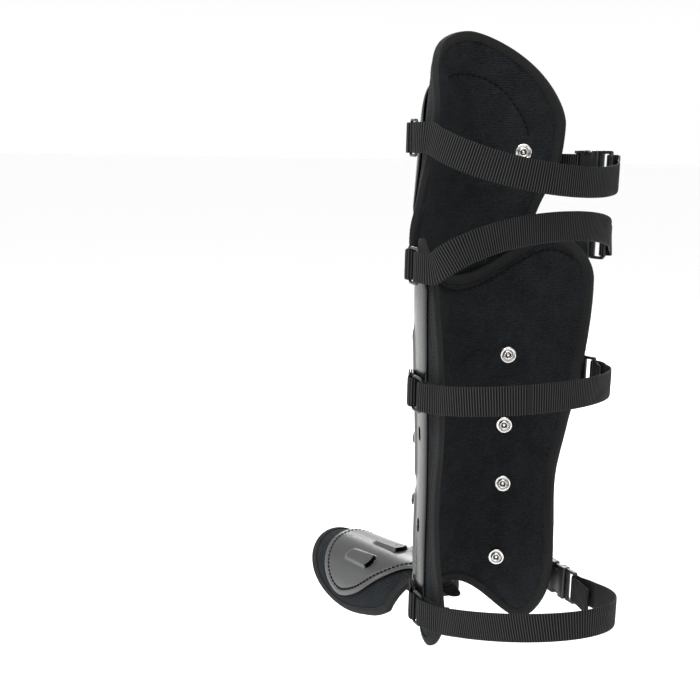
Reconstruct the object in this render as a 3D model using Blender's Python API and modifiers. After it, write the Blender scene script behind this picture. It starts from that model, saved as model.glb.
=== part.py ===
"""Riot leg guard for a right leg: padded panels, hard shells, straps and a foot guard."""

import bmesh
import bpy
import numpy as np
from math import cos, pi, radians, sin
from mathutils import Matrix, Vector

# Clearances and stock thicknesses
GAP = 0.0003
LINER = 0.0055
SHELL = 0.0025
TAPE = 0.0011
TAPE_DEPTH = 0.0065
WEB_WIDTH = 0.025
WEB = 0.0015
BAR = 0.0024

# Heights are taken above the lowest edge of the shin panel, and the seat is the origin
SEAT_HEIGHT = 0.250

# Shin panel: height, radius of the mid surface, half angle of the wrap, front line
SHIN_ROWS = (
    dict(height=-0.010, radius=0.055, wrap=97, front=0.0),
    dict(height=0.050, radius=0.066, wrap=97, front=0.0),
    dict(height=0.095, radius=0.070, wrap=90, front=0.0),
    dict(height=0.150, radius=0.071, wrap=87, front=0.0),
    dict(height=0.195, radius=0.074, wrap=90, front=0.0),
    dict(height=0.270, radius=0.084, wrap=89, front=0.0),
    dict(height=0.340, radius=0.092, wrap=83, front=0.0),
    dict(height=0.390, radius=0.092, wrap=80, front=0.0),
)
SHIN_ARCH = 0.034
SHIN_LOBE = 0.80
SHIN_FOOT_CORNER = 0.040
SHIN_DIP = 0.336
SHIN_TOP_RISE = 0.042
SHIN_TOP_CORNER = 0.042

# Knee panel, on the same columns
KNEE_ROWS = (
    dict(height=0.310, radius=0.0985, wrap=30, front=-0.0103),
    dict(height=0.384, radius=0.0980, wrap=45, front=-0.0103),
    dict(height=0.406, radius=0.088, wrap=54, front=-0.0080),
    dict(height=0.432, radius=0.083, wrap=65, front=-0.0065),
    dict(height=0.470, radius=0.077, wrap=75, front=-0.0065),
    dict(height=0.510, radius=0.072, wrap=78, front=-0.0045),
    dict(height=0.560, radius=0.070, wrap=77, front=0.0030),
)
KNEE_FOOT = 0.322
KNEE_FOOT_RISE = 0.016
KNEE_SIDE = 0.476
KNEE_PEAK = 0.555
KNEE_ROUND = 1.7

# Hard shells: half angles and edges
SHIN_SHELL_WRAP = 78
SHIN_SHELL_LOW = 0.030
SHIN_SHELL_ARCH = 0.024
SHIN_SHELL_HIGH = 0.309
SHIN_SHELL_EAR = 0.043
SHIN_SHELL_CORNER = 0.014
RIB_RISE = 0.0018
KNEE_SHELL_ROWS = (
    dict(height=0.390, wrap=40),
    dict(height=0.415, wrap=49),
    dict(height=0.445, wrap=56),
    dict(height=0.520, wrap=58),
)
KNEE_SHELL_LOW = 0.390
KNEE_SHELL_SIDE = 0.452
KNEE_SHELL_HIGH = 0.520
KNEE_SHELL_CORNER = 0.020

# Foot guard, unrolled: distance forward of the ankle and half width round the instep
FOOT_RADIUS = 0.044
FOOT_START = -0.0175
FOOT_RIDGE = 0.0369
FOOT_TOE_LIFT = -0.019
PAD_LENGTH = 0.190
PAD = 0.0055
PAD_ROWS = (
    dict(length=0.0, half=0.046),
    dict(length=0.025, half=0.066),
    dict(length=0.065, half=0.079),
    dict(length=0.190, half=0.079),
)
PAD_SIDE = 0.090
PAD_BACK_SWEEP = 0.020
PLATE = 0.0022
PLATE_LENGTH = 0.160
PLATE_CORNER = 0.090
PLATE_ROWS = (
    dict(length=0.003, half=0.014),
    dict(length=0.022, half=0.018),
    dict(length=0.044, half=0.036),
    dict(length=0.070, half=0.057),
    dict(length=0.090, half=0.065),
    dict(length=0.160, half=0.065),
)
FOOT_RIBS = (
    dict(across=-0.026, start=0.040, end=0.080),
    dict(across=0.0, start=0.056, end=0.104),
    dict(across=0.028, start=0.068, end=0.116),
)
TONGUE = 0.0022
TONGUE_ROWS = (
    dict(length=-0.034, half=0.004),
    dict(length=-0.029, half=0.010),
    dict(length=-0.020, half=0.012),
    dict(length=0.034, half=0.012),
)
TONGUE_DROOP = 0.010
FOOT_RIB_WIDTH = 0.014
FOOT_RIB_RISE = 0.0032

# Rivets: flange, boss, hole, and where each sits on its panel (angle and height)
RIVET_FLANGE = 0.0080
RIVET_BOSS = 0.0046
RIVET_HOLE = 0.0020
RIVET_SHANK = 0.0026
RIVET_HEAD = 0.0055
RIVETS = (
    dict(name="knee", panel="knee", angle=46, height=0.451),
    dict(name="shin_1", panel="shin", angle=38, height=0.260),
    dict(name="shin_2", panel="shin", angle=42, height=0.191),
    dict(name="shin_3", panel="shin", angle=45, height=0.132),
    dict(name="shin_4", panel="shin", angle=45, height=0.056),
)

# Webbing lies on the shell's ribs; loops and buckles stand clear of it
LAID_OUT = LINER / 2 + GAP + SHELL + RIB_RISE + 2 * GAP + WEB / 2
LOOP_OUT = LAID_OUT + WEB + GAP + BAR
FOLD = BAR * 0.71 + 2.6 * GAP + WEB / 2
LAYERS = WEB + 0.0004
LOOP_HALF = 0.0145
LOOP_SPAN = 9.5

# Straps: heights at the loop and at the buckle, and lift of the middle
STRAP_LEVELS = {
    "knee": dict(near=0.461, far=0.438, lift=-0.020),
    "calf": dict(near=0.357, far=0.371, lift=0.027),
    "shin": dict(near=0.247, far=0.249, lift=0.007),
    "ankle": dict(near=0.044, far=0.044, lift=0.028),
}
# Angles of the loop, of the buckle's middle and of each tab's start on the shell
STRAP_ANGLES = {
    "knee": dict(panel="knee", loop=70, buckle=92, tab=52),
    "calf": dict(panel="shin", loop=74, buckle=78, tab=50),
    "shin": dict(panel="shin", loop=79, buckle=84, tab=50),
    "ankle": dict(panel="shin", loop=82, buckle=98, tab=54),
}
# Rounds: reach behind the section's centre, shift of the back forward, stand off the panel
STRAP_ROUNDS = {
    "knee": dict(reach=0.063, forward=0.0, stand=0.0020),
    "calf": dict(reach=0.040, forward=0.018, stand=0.0005),
    "shin": dict(reach=0.062, forward=0.0, stand=0.0014),
    "ankle": dict(reach=0.122, forward=0.0, stand=0.0010),
}

# Side release buckle: lengths run from its middle, widths are half widths
SOCKET_BACK = -0.0285
SOCKET_FRONT = 0.0020
SOCKET_HALF = 0.0160
SOCKET_THICK = 0.0080
SOCKET_WALL = 0.0019
SLOT_HALF = 0.0131
PLUG_THICK = 0.0030
PLUG_BAR = 0.0150
PRONG_TIP = -0.0170
WINDOW = (-0.0150, -0.0060)

# Vent slots in the shin shell
VENT_HEIGHTS = (0.118, 0.205)
VENT_ANGLE = 68
VENT_WIDE = 0.006
VENT_TALL = 0.013


def clear_scene():
    for item in list(bpy.data.objects):
        bpy.data.objects.remove(item, do_unlink=True)


clear_scene()
guard = bpy.data.collections.new("riot_leg_guard")
cutters = bpy.data.collections.new("cutters")
cutters.hide_render = True
bpy.context.scene.collection.children.link(guard)
bpy.context.scene.collection.children.link(cutters)


def material(name, colour, rough, metal=0.0):
    made = bpy.data.materials.new(name)
    made.use_nodes = True
    shader = made.node_tree.nodes["Principled BSDF"]
    shader.inputs["Base Color"].default_value = (*colour, 1.0)
    shader.inputs["Roughness"].default_value = rough
    shader.inputs["Metallic"].default_value = metal
    made.diffuse_color = (*colour, 1.0)
    return made


LINING = material("brushed_lining", (0.012, 0.013, 0.015), 0.95)
BINDING = material("twill_binding", (0.020, 0.020, 0.021), 0.85)
PLASTIC = material("black_plastic", (0.015, 0.015, 0.016), 0.35)
WEBBING = material("nylon_webbing", (0.014, 0.014, 0.015), 0.80)
ACETAL = material("buckle_plastic", (0.018, 0.018, 0.020), 0.45)
NICKEL = material("nickel", (0.70, 0.69, 0.66), 0.25, 1.0)


def finish(name, mesh, stuff, smooth=True):
    """Adds a mesh to the guard as one named piece."""
    for face in mesh.polygons:
        face.use_smooth = smooth
    mesh.materials.append(stuff)
    piece = bpy.data.objects.new(name, mesh)
    guard.objects.link(piece)
    return piece


def column(rows, key, name, value):
    """Smooth value of a table's column between its rows."""
    keys = [row[key] for row in rows]
    values = [row[name] for row in rows]
    slopes = np.gradient(values, keys)
    at = min(max(value, keys[0]), keys[-1])
    i = min(int(np.searchsorted(keys, at, side="right")) - 1, len(keys) - 2)
    span = keys[i + 1] - keys[i]
    t = (at - keys[i]) / span
    return (
        values[i] * (1 + 2 * t) * (1 - t) ** 2
        + values[i + 1] * t * t * (3 - 2 * t)
        + slopes[i] * span * t * (1 - t) ** 2
        + slopes[i + 1] * span * t * t * (t - 1)
    )


ROWS = {"shin": SHIN_ROWS, "knee": KNEE_ROWS}


def centre_of(panel, height):
    """Mid radius and the y of the section's centre."""
    radius = column(ROWS[panel], "height", "radius", height)
    front = column(ROWS[panel], "height", "front", height)
    return radius, front + radius - LINER / 2


def on_leg(panel, angle, height, out=0.0):
    """Point at an angle round the leg, out from the panel's mid surface."""
    radius, centre = centre_of(panel, height)
    turn = radians(angle)
    return Vector((
        (radius + out) * sin(turn),
        centre - (radius + out) * cos(turn),
        height - SEAT_HEIGHT,
    ))


def on_foot(across, length, out=0.0):
    """Point round the instep arch, out from the pad's mid surface."""
    turn = across / FOOT_RADIUS
    lift = FOOT_RIDGE + FOOT_TOE_LIFT * length / PAD_LENGTH
    return Vector((
        (FOOT_RADIUS + out) * sin(turn),
        FOOT_START - length,
        lift - SEAT_HEIGHT - FOOT_RADIUS + (FOOT_RADIUS + out) * cos(turn),
    ))


def spread(count):
    """Shares from -1 to 1, closer together near the ends."""
    return [sin(pi / 2 * (2 * i / count - 1)) * 0.35 + (2 * i / count - 1) * 0.65 for i in range(count + 1)]


def round_top(share, power):
    return max(0.0, 1 - abs(share) ** power) ** (1 / power)


def corner(share, start):
    """0 until a share of the half width, then round down to 1 at the edge."""
    t = max(0.0, (abs(share) - start) / (1 - start))
    return 1 - max(0.0, 1 - t * t) ** 0.5


def shin_low(p):
    arch = SHIN_ARCH * (1 + cos(pi * min(1.0, abs(p) / SHIN_LOBE))) / 2
    return arch + SHIN_FOOT_CORNER * corner(p, SHIN_LOBE)


def shin_high(p):
    rise = SHIN_TOP_RISE * sin(pi / 2 * min(1.0, abs(p) / 0.78)) ** 2
    return SHIN_DIP + rise - SHIN_TOP_CORNER * corner(p, 0.62)


def knee_low(p):
    return KNEE_FOOT + KNEE_FOOT_RISE * abs(p) ** 2 + 0.012 * corner(p, 0.6)


def knee_high(p):
    return KNEE_SIDE + (KNEE_PEAK - KNEE_SIDE) * round_top(p, KNEE_ROUND)


def ease(value, start, end):
    t = min(1.0, max(0.0, (value - start) / (end - start)))
    return t * t * (3 - 2 * t)


def shell_low(p):
    arch = SHIN_SHELL_ARCH * (1 - ease(abs(p), 0.10, 0.52))
    return SHIN_SHELL_LOW + arch + SHIN_SHELL_CORNER * corner(p, 0.78)


def shell_high(p):
    ear = SHIN_SHELL_EAR * ease(abs(p), 0.68, 0.78)
    return SHIN_SHELL_HIGH + ear - SHIN_SHELL_CORNER * corner(p, 0.80)


def cap_low(p):
    return KNEE_SHELL_LOW + KNEE_SHELL_CORNER * corner(p, 0.55)


def cap_high(p):
    return KNEE_SHELL_SIDE + (KNEE_SHELL_HIGH - KNEE_SHELL_SIDE) * round_top(p, 2.0)


def pad_low(p):
    return PAD_BACK_SWEEP * abs(p) ** 1.5


def pad_high(p):
    return PAD_SIDE + (PAD_LENGTH - PAD_SIDE) * round_top(p, 2.0)


def plate_low(p):
    return PLATE_ROWS[0]["length"]


def plate_high(p):
    return PLATE_CORNER + (PLATE_LENGTH - PLATE_CORNER) * round_top(p, 1.9)


def wrap_point(panel, rows=None, wrap=None):
    def point(p, height, out=0.0):
        half = wrap or column(rows or ROWS[panel], "height", "wrap", height)
        return on_leg(panel, p * half, height, out)
    return point


def snap_leg(panel):
    """Puts a place back on the panel, at an out of its own."""
    def snap(place, out):
        radius, centre = centre_of(panel, place.z + SEAT_HEIGHT)
        away = Vector((place.x, place.y - centre, 0)).normalized() * (radius + out)
        return Vector((away.x, centre + away.y, place.z))
    return snap


def foot_point(rows):
    def point(p, length, out=0.0):
        return on_foot(p * column(rows, "length", "half", length), length, out)
    return point


def snap_foot(place, out):
    length = FOOT_START - place.y
    axis = on_foot(0.0, length, -FOOT_RADIUS)
    away = Vector((place.x, 0, place.z - axis.z)).normalized() * (FOOT_RADIUS + out)
    return axis + away


def sheet(name, point, low, high, columns, steps, thick, out, stuff, raised=None):
    """Panel between two edge lines: an open surface made thick both ways from its middle."""
    frame = bmesh.new()
    grid = []
    for p in columns:
        line = []
        for q in steps:
            at = low(p) + q * (high(p) - low(p))
            rise = raised(p, at) if raised else 0.0
            line.append(frame.verts.new(point(p, at, out + rise)))
        grid.append(line)
    for i in range(len(columns) - 1):
        for j in range(len(steps) - 1):
            frame.faces.new((grid[i][j], grid[i + 1][j], grid[i + 1][j + 1], grid[i][j + 1]))
    mesh = bpy.data.meshes.new(name)
    frame.to_mesh(mesh)
    frame.free()
    piece = finish(name, mesh, stuff)
    solid = piece.modifiers.new("thickness", "SOLIDIFY")
    solid.thickness = thick
    solid.offset = 0.0
    solid.use_quality_normals = True
    return piece


def even(count):
    return [j / count for j in range(count + 1)]


def outline(low, high, columns, steps):
    """Closed loop of (share, height) round a panel's edge."""
    edge = [(p, low(p)) for p in columns]
    edge += [(1.0, low(1.0) + (high(1.0) - low(1.0)) * q) for q in steps[1:-1]]
    edge += [(p, high(p)) for p in reversed(columns)]
    edge += [(-1.0, low(-1.0) + (high(-1.0) - low(-1.0)) * q) for q in reversed(steps[1:-1])]
    return edge


def loft(name, rings, stuff, closed=False, smooth=True):
    """Skin over matching closed sections, capped unless it closes on itself."""
    frame = bmesh.new()
    made = [[frame.verts.new(place) for place in ring] for ring in rings]
    size = len(rings[0])
    pairs = list(zip(made, made[1:] + made[:1])) if closed else list(zip(made, made[1:]))
    for first, second in pairs:
        for k in range(size):
            frame.faces.new((first[k], first[(k + 1) % size], second[(k + 1) % size], second[k]))
    if not closed:
        frame.faces.new(list(reversed(made[0])))
        frame.faces.new(made[-1])
    bmesh.ops.recalc_face_normals(frame, faces=frame.faces)
    mesh = bpy.data.meshes.new(name)
    frame.to_mesh(mesh)
    frame.free()
    return finish(name, mesh, stuff, smooth)


def binding(name, point, snap, low, high, columns, steps, thick, turn=1):
    """Tape folded round a panel's edge: a U section carried round its outline."""
    edge = outline(low, high, columns, steps)
    places = [point(p, at) for p, at in edge]
    half = thick / 2 + 4 * GAP
    lip = 3 * GAP
    section = (
        (-TAPE_DEPTH, half),
        (-TAPE_DEPTH, half + TAPE),
        (lip + TAPE, half + TAPE * 0.5),
        (lip + TAPE, -half - TAPE * 0.5),
        (-TAPE_DEPTH, -half - TAPE),
        (-TAPE_DEPTH, -half),
        (lip, -half),
        (lip, half),
    )
    rings = []
    for i, (p, at) in enumerate(edge):
        here = places[i]
        run = (places[(i + 1) % len(edge)] - places[i - 1]).normalized()
        normal = (point(p, at, 0.001) - here).normalized()
        away = run.cross(normal).normalized() * turn
        rings.append([snap(here + away * step, side) for step, side in section])
    return loft(name, rings, BINDING, closed=True)


# Padded panels and their bindings
shin_point = wrap_point("shin")
knee_point = wrap_point("knee")
shin_edges = (shin_low, shin_high, spread(18), even(12))
knee_edges = (knee_low, knee_high, spread(14), even(7))
shin_liner = sheet("shin_liner", shin_point, *shin_edges, LINER, 0.0, LINING)
knee_liner = sheet("knee_liner", knee_point, *knee_edges, LINER, 0.0, LINING)
binding("shin_binding", shin_point, snap_leg("shin"), *shin_edges, LINER)
binding("knee_binding", knee_point, snap_leg("knee"), *knee_edges, LINER)


# Hard shells lie on the outer face of the panels
SHELL_OUT = LINER / 2 + 1.6 * GAP + SHELL / 2
SHELL_COLUMNS = (0.0, 0.09, 0.14, 0.22, 0.30, 0.38, 0.44, 0.55, 0.65, 0.76, 0.82, 0.91, 1.0)
SHELL_STEPS = (0.0, 0.05, 0.105, 0.142, 0.25, 0.392, 0.427, 0.446, 0.482, 0.61, 0.75, 0.86, 0.925, 0.962, 1.0)
RIB_SPANS = ((0.070, 0.140), (0.165, 0.290))
RIB_RAMP = 0.010


def plateau(value, start, end, ramp):
    """1 between start and end, sloping to 0 over the ramp outside them."""
    return max(0.0, min(1.0, (value - start) / ramp + 1, (end - value) / ramp + 1))


def shell_raise(p, at):
    middle = plateau(abs(p), -1.0, 0.09, 0.05) * plateau(at, 0.085, 0.285, RIB_RAMP)
    side = plateau(abs(p), 0.44, 0.76, 0.06)
    along = max(plateau(at, start, end, RIB_RAMP) for start, end in RIB_SPANS)
    return RIB_RISE * max(middle, side * along)


mirrored = [-p for p in reversed(SHELL_COLUMNS[1:])] + list(SHELL_COLUMNS)
shin_shell = sheet("shin_shell", wrap_point("shin", wrap=SHIN_SHELL_WRAP), shell_low, shell_high,
                   mirrored, SHELL_STEPS, SHELL, SHELL_OUT, PLASTIC, shell_raise)


def cap_raise(p, at):
    dome = max(0.0, 1 - p * p) * max(0.0, sin(pi * (at - KNEE_SHELL_LOW) / (KNEE_SHELL_HIGH - KNEE_SHELL_LOW)))
    return 0.004 * dome


knee_shell = sheet("knee_shell", wrap_point("knee", KNEE_SHELL_ROWS), cap_low, cap_high,
                   spread(12), even(8), SHELL, SHELL_OUT + GAP, PLASTIC, cap_raise)


# Instep pad, its binding, and the stitched plate over it
pad_point = foot_point(PAD_ROWS)
plate_point = foot_point(PLATE_ROWS)
pad_edges = (pad_low, pad_high, spread(18), even(5))
foot_pad = sheet("foot_pad", pad_point, *pad_edges, PAD, 0.0, LINING)
binding("foot_binding", pad_point, snap_foot, *pad_edges, PAD, -1)
PLATE_OUT = PAD / 2 + TAPE + 5.2 * GAP + PLATE / 2
foot_plate = sheet("foot_plate", plate_point, plate_low, plate_high, spread(12), even(8),
                   PLATE, PLATE_OUT, PLASTIC)


# The tongue runs from under the pad to the inside of the shin panel's arch
def tongue_low(p):
    return TONGUE_ROWS[0]["length"] + 0.002 * p * p


def tongue_high(p):
    return TONGUE_ROWS[-1]["length"]


def tongue_droop(p, length):
    return -TONGUE_DROOP * ease(-length, 0.004, 0.036)


TONGUE_OUT = -(PAD / 2 + TAPE + 5.4 * GAP + TONGUE / 2)
sheet("foot_tongue", foot_point(TONGUE_ROWS), tongue_low, tongue_high, spread(4),
      (0.0, 0.08, 0.2, 0.45, 0.7, 1.0), TONGUE, TONGUE_OUT, LINING, tongue_droop)


def hide_form(form):
    """Keeps a helper form out of the guard."""
    cutters.objects.link(form)
    form.hide_render = True
    form.display_type = "WIRE"
    return form


def wedge_form(name, rib):
    """Wedge along the plate: flush at the toe, steep at the ankle end."""
    rings = []
    face = PLATE_OUT + PLATE / 2
    for t in (0.0, 0.12, 0.5, 0.88, 1.0):
        at = rib["start"] + (rib["end"] - rib["start"]) * t
        top = face + FOOT_RIB_RISE * (1 - t * 0.93)
        wide = FOOT_RIB_WIDTH / 2 * (0.56 if t in (0.0, 1.0) else (1 - (2 * t - 1) ** 6) ** 0.5)
        rings.append([
            on_foot(rib["across"] - wide, at, PLATE_OUT),
            on_foot(rib["across"] - wide * 0.8, at, top),
            on_foot(rib["across"] + wide * 0.8, at, top),
            on_foot(rib["across"] + wide, at, PLATE_OUT),
        ])
    wedge = loft(name, rings, PLASTIC)
    guard.objects.unlink(wedge)
    return hide_form(wedge)


for number, rib in enumerate(FOOT_RIBS, 1):
    join = foot_plate.modifiers.new(f"rib {number}", "BOOLEAN")
    join.operation = "UNION"
    join.solver = "EXACT"
    join.object = wedge_form(f"rib_form_{number}", rib)


# Rivets clamp each panel between its shell and a flanged tube
def turned(name, profile, place):
    """Turned mesh from a half profile, its axis laid along the given matrix."""
    mesh = bpy.data.meshes.new(name)
    frame = bmesh.new()
    line = [frame.verts.new((radius, 0.0, high)) for radius, high in profile]
    edges = [frame.edges.new(pair) for pair in zip(line, line[1:] + line[:1])]
    bmesh.ops.spin(frame, geom=line + edges, axis=(0, 0, 1), cent=(0, 0, 0),
                   angle=2 * pi, steps=8, use_merge=True)
    bmesh.ops.remove_doubles(frame, verts=frame.verts, dist=1e-6)
    bmesh.ops.recalc_face_normals(frame, faces=frame.faces)
    frame.transform(place)
    frame.to_mesh(mesh)
    frame.free()
    return mesh


def inward(panel, angle, height):
    """Matrix at the panel's mid surface with +Z into the leg channel."""
    here = on_leg(panel, angle, height)
    axis = (on_leg(panel, angle, height, -0.001) - here).normalized()
    across = Vector((0, 0, 1)).cross(axis).normalized()
    rise = axis.cross(across)
    place = Matrix((across, rise, axis)).transposed().to_4x4()
    place.translation = here
    return place


# The chord of a flat flange on the round lining stands a little off it
FLANGE_LIFT = LINER / 2 + 0.0012
HEAD_DROP = -(LINER / 2 + GAP + SHELL + 0.0009)
RIVET_PROFILE = (
    (0.0, FLANGE_LIFT + 0.0004),
    (RIVET_HOLE, FLANGE_LIFT + 0.0004),
    (RIVET_HOLE, FLANGE_LIFT + 0.0024),
    (RIVET_BOSS, FLANGE_LIFT + 0.0022),
    (RIVET_FLANGE, FLANGE_LIFT + 0.0008),
    (RIVET_FLANGE, FLANGE_LIFT),
    (RIVET_SHANK, FLANGE_LIFT),
    (RIVET_SHANK, HEAD_DROP),
    (RIVET_HEAD, HEAD_DROP),
    (RIVET_HEAD - 0.0014, HEAD_DROP - 0.0018),
    (0.0, HEAD_DROP - 0.0018),
)
HOLE_PROFILE = (
    (0.0, 0.020),
    (RIVET_SHANK + 1.5 * GAP, 0.020),
    (RIVET_SHANK + 1.5 * GAP, -0.020),
    (0.0, -0.020),
)
hole_forms = {"knee": [], "shin": []}
for rivet in RIVETS:
    angle, height = rivet["angle"], rivet["height"]
    if rivet["panel"] == "shin":
        lift = shell_raise(angle / SHIN_SHELL_WRAP, height)
    else:
        lift = cap_raise(angle / column(KNEE_SHELL_ROWS, "height", "wrap", height), height)
    profile = [(radius, high - (lift if high < 0 else 0.0)) for radius, high in RIVET_PROFILE]
    for side, sign in (("right", -1), ("left", 1)):
        place = inward(rivet["panel"], sign * angle, height)
        name = f"{rivet['name']}_{side}"
        finish(f"rivet_{name}", turned(f"rivet_{name}", profile, place), NICKEL)
        form = bpy.data.objects.new(f"hole_{name}", turned(f"hole_{name}", HOLE_PROFILE, place))
        hole_forms[rivet["panel"]].append(hide_form(form))


def cut(piece, form):
    hole = piece.modifiers.new(form.name, "BOOLEAN")
    hole.operation = "DIFFERENCE"
    hole.solver = "EXACT"
    hole.object = form


for form in hole_forms["shin"]:
    cut(shin_liner, form)
    cut(shin_shell, form)
for form in hole_forms["knee"]:
    cut(knee_liner, form)
    cut(knee_shell, form)


# Vent slots through the sides of the shin shell
for height in VENT_HEIGHTS:
    for side, sign in (("right", -1), ("left", 1)):
        place = inward("shin", sign * VENT_ANGLE, height)
        frame = bmesh.new()
        bmesh.ops.create_cube(frame, size=1.0, matrix=Matrix.Diagonal((VENT_WIDE, VENT_TALL, 0.006, 1.0)))
        uprights = [e for e in frame.edges if abs(e.verts[0].co.z - e.verts[1].co.z) > 0.003]
        bmesh.ops.bevel(frame, geom=uprights, offset=VENT_WIDE * 0.46, segments=2, affect="EDGES", profile=0.5)
        frame.transform(place @ Matrix.Translation((0, 0, -0.0072)))
        mesh = bpy.data.meshes.new("vent")
        frame.to_mesh(mesh)
        frame.free()
        cut(shin_shell, hide_form(bpy.data.objects.new(f"vent_form_{side}_{round(height * 1000)}", mesh)))


# Webbing: a flat ribbon carried along a path of angle, out, height and hug
def section_at(name):
    """Radius and centre of a strap's round, with its stand off the panel."""
    level = STRAP_LEVELS[name]
    radius, centre = centre_of(STRAP_ANGLES[name]["panel"], (level["near"] + level["far"]) / 2)
    return radius + STRAP_ROUNDS[name]["stand"], centre


def round_leg(name, angle, out, height):
    """Point on a strap's round: a circle in front, a longer ellipse behind the leg."""
    radius, centre = section_at(name)
    shape = STRAP_ROUNDS[name]
    turn = radians(angle)
    deep = radius + out if cos(turn) > 0 else shape["reach"] + out
    round_way = angle % 360
    shift = shape["forward"] * (ease(round_way, 92, 170) if round_way < 180 else ease(360 - round_way, 62, 100))
    return Vector(((radius + out) * sin(turn), centre - shift - deep * cos(turn), height - SEAT_HEIGHT))


def spot_of(name, place, angle):
    """Angle and out of a place, found by stepping from a first angle."""
    out = LOOP_OUT
    for _ in range(12):
        here = round_leg(name, angle, out, 0.0)
        turned_by = (round_leg(name, angle + 0.01, out, 0.0) - here) * 100
        moved_by = (round_leg(name, angle, out + 1e-5, 0.0) - here) * 1e5
        miss = place - here
        scale = turned_by.x * moved_by.y - turned_by.y * moved_by.x
        angle += (miss.x * moved_by.y - miss.y * moved_by.x) / scale
        out += (turned_by.x * miss.y - turned_by.y * miss.x) / scale
    return angle, out


def fold_round(name, angle, height, forward):
    """Half turn round a loop's bar, from the inner layer to the outer one; forward is -1 toward the front."""
    per_metre = 180 / pi / (section_at(name)[0] + LOOP_OUT)
    swings = [pi * k / 6 for k in range(1, 6)]
    return [
        (angle + forward * FOLD * sin(swing) * per_metre, LOOP_OUT - FOLD * cos(swing), height, 0.0)
        for swing in swings
    ]


def webbing(piece, name, path):
    """Flat ribbon with square edges along the path; hug 1 lays it on the panel's own slope."""
    places = [round_leg(name, *spot[:3]) for spot in path]
    last = len(places) - 1
    rings = []
    for i, (angle, out, height, hug) in enumerate(path):
        run = (places[min(i + 1, last)] - places[max(i - 1, 0)]).normalized()
        normal = Vector((run.y, -run.x, 0)).normalized()
        wide = run.cross(normal).normalized()
        if wide.z < 0:
            wide = -wide
            normal = -normal
        ring = []
        for side, face in ((-1, -1), (1, -1), (1, 1), (-1, 1)):
            edge = height + side * WEB_WIDTH / 2
            laid = on_leg(STRAP_ANGLES[name]["panel"], angle, edge, LAID_OUT + out - (LOOP_OUT - FOLD))
            shift = (laid - round_leg(name, angle, out, edge)) * hug
            ring.append(places[i] + wide * (side * WEB_WIDTH / 2) + normal * (face * WEB / 2) + shift)
        rings.append(ring)
    return loft(piece, rings, WEBBING, smooth=False)


def loop_frame(name):
    """Rectangular loop: a square bar carried round a rectangle with cut corners."""
    angle, height = STRAP_ANGLES[name]["loop"], STRAP_LEVELS[name]["near"]
    middle = round_leg(name, angle, LOOP_OUT, height)
    normal = (round_leg(name, angle, LOOP_OUT + 0.001, height) - middle).normalized()
    rise = Vector((0, 0, 1))
    aside = rise.cross(normal)
    corners = ((1.0, 0.86), (0.62, 1.0), (-0.62, 1.0), (-1.0, 0.86),
               (-1.0, -0.86), (-0.62, -1.0), (0.62, -1.0), (1.0, -0.86))
    rings = []
    for wide, tall in corners:
        spot = round_leg(name, angle + LOOP_SPAN / 2 * wide, LOOP_OUT, height + LOOP_HALF * tall)
        on_side = abs(wide) == 1.0
        away = aside * (1.0 if on_side else 0.41) * (1 if wide > 0 else -1)
        away += rise * (0.41 if on_side else 1.0) * (1 if tall > 0 else -1)
        rings.append([
            spot + away * (side * BAR / 2) + normal * (face * BAR / 2)
            for side, face in ((-1, -1), (1, -1), (1, 1), (-1, 1))
        ])
    return loft(f"{name}_loop", rings, ACETAL, closed=True, smooth=False)


def block(name, low, high):
    """Box between two corners."""
    frame = bmesh.new()
    size = [b - a for a, b in zip(low, high)]
    middle = [(a + b) / 2 for a, b in zip(low, high)]
    bmesh.ops.create_cube(frame, size=1.0, matrix=Matrix.Translation(middle) @ Matrix.Diagonal((*size, 1.0)))
    mesh = bpy.data.meshes.new(name)
    frame.to_mesh(mesh)
    frame.free()
    return hide_form(bpy.data.objects.new(name, mesh))


def cut_solid(base, forms):
    """Mesh of a block with each form cut from it."""
    for form in forms:
        cut(base, form)
    graph = bpy.context.evaluated_depsgraph_get()
    return bpy.data.meshes.new_from_object(base.evaluated_get(graph))


deep = SOCKET_THICK / 2
mouth = SOCKET_FRONT + 0.002
inside = SOCKET_BACK + 0.0085
slot_end = SOCKET_BACK + 0.0032
socket_forms = [
    block("socket_thin_top", (SOCKET_BACK - 0.002, -SLOT_HALF, BAR / 2), (inside, SLOT_HALF, deep + 0.002)),
    block("socket_thin_under", (SOCKET_BACK - 0.002, -SLOT_HALF, -deep - 0.002), (inside, SLOT_HALF, -BAR / 2)),
    block("socket_slot", (slot_end, -SLOT_HALF, -deep - 0.003), (inside, SLOT_HALF, deep + 0.003)),
    block("socket_mouth", (inside + 0.0015, -SOCKET_HALF + SOCKET_WALL, -deep + SOCKET_WALL),
          (mouth, SOCKET_HALF - SOCKET_WALL, deep - SOCKET_WALL)),
    block("socket_window_a", (WINDOW[0], SOCKET_HALF - 0.0050, -deep - 0.002),
          (WINDOW[1], SOCKET_HALF + 0.002, deep + 0.002)),
    block("socket_window_b", (WINDOW[0], -SOCKET_HALF - 0.002, -deep - 0.002),
          (WINDOW[1], -SOCKET_HALF + 0.0050, deep + 0.002)),
]
socket_mesh = cut_solid(
    block("socket_body", (SOCKET_BACK, -SOCKET_HALF, -deep), (SOCKET_FRONT, SOCKET_HALF, deep)),
    socket_forms,
)


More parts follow.
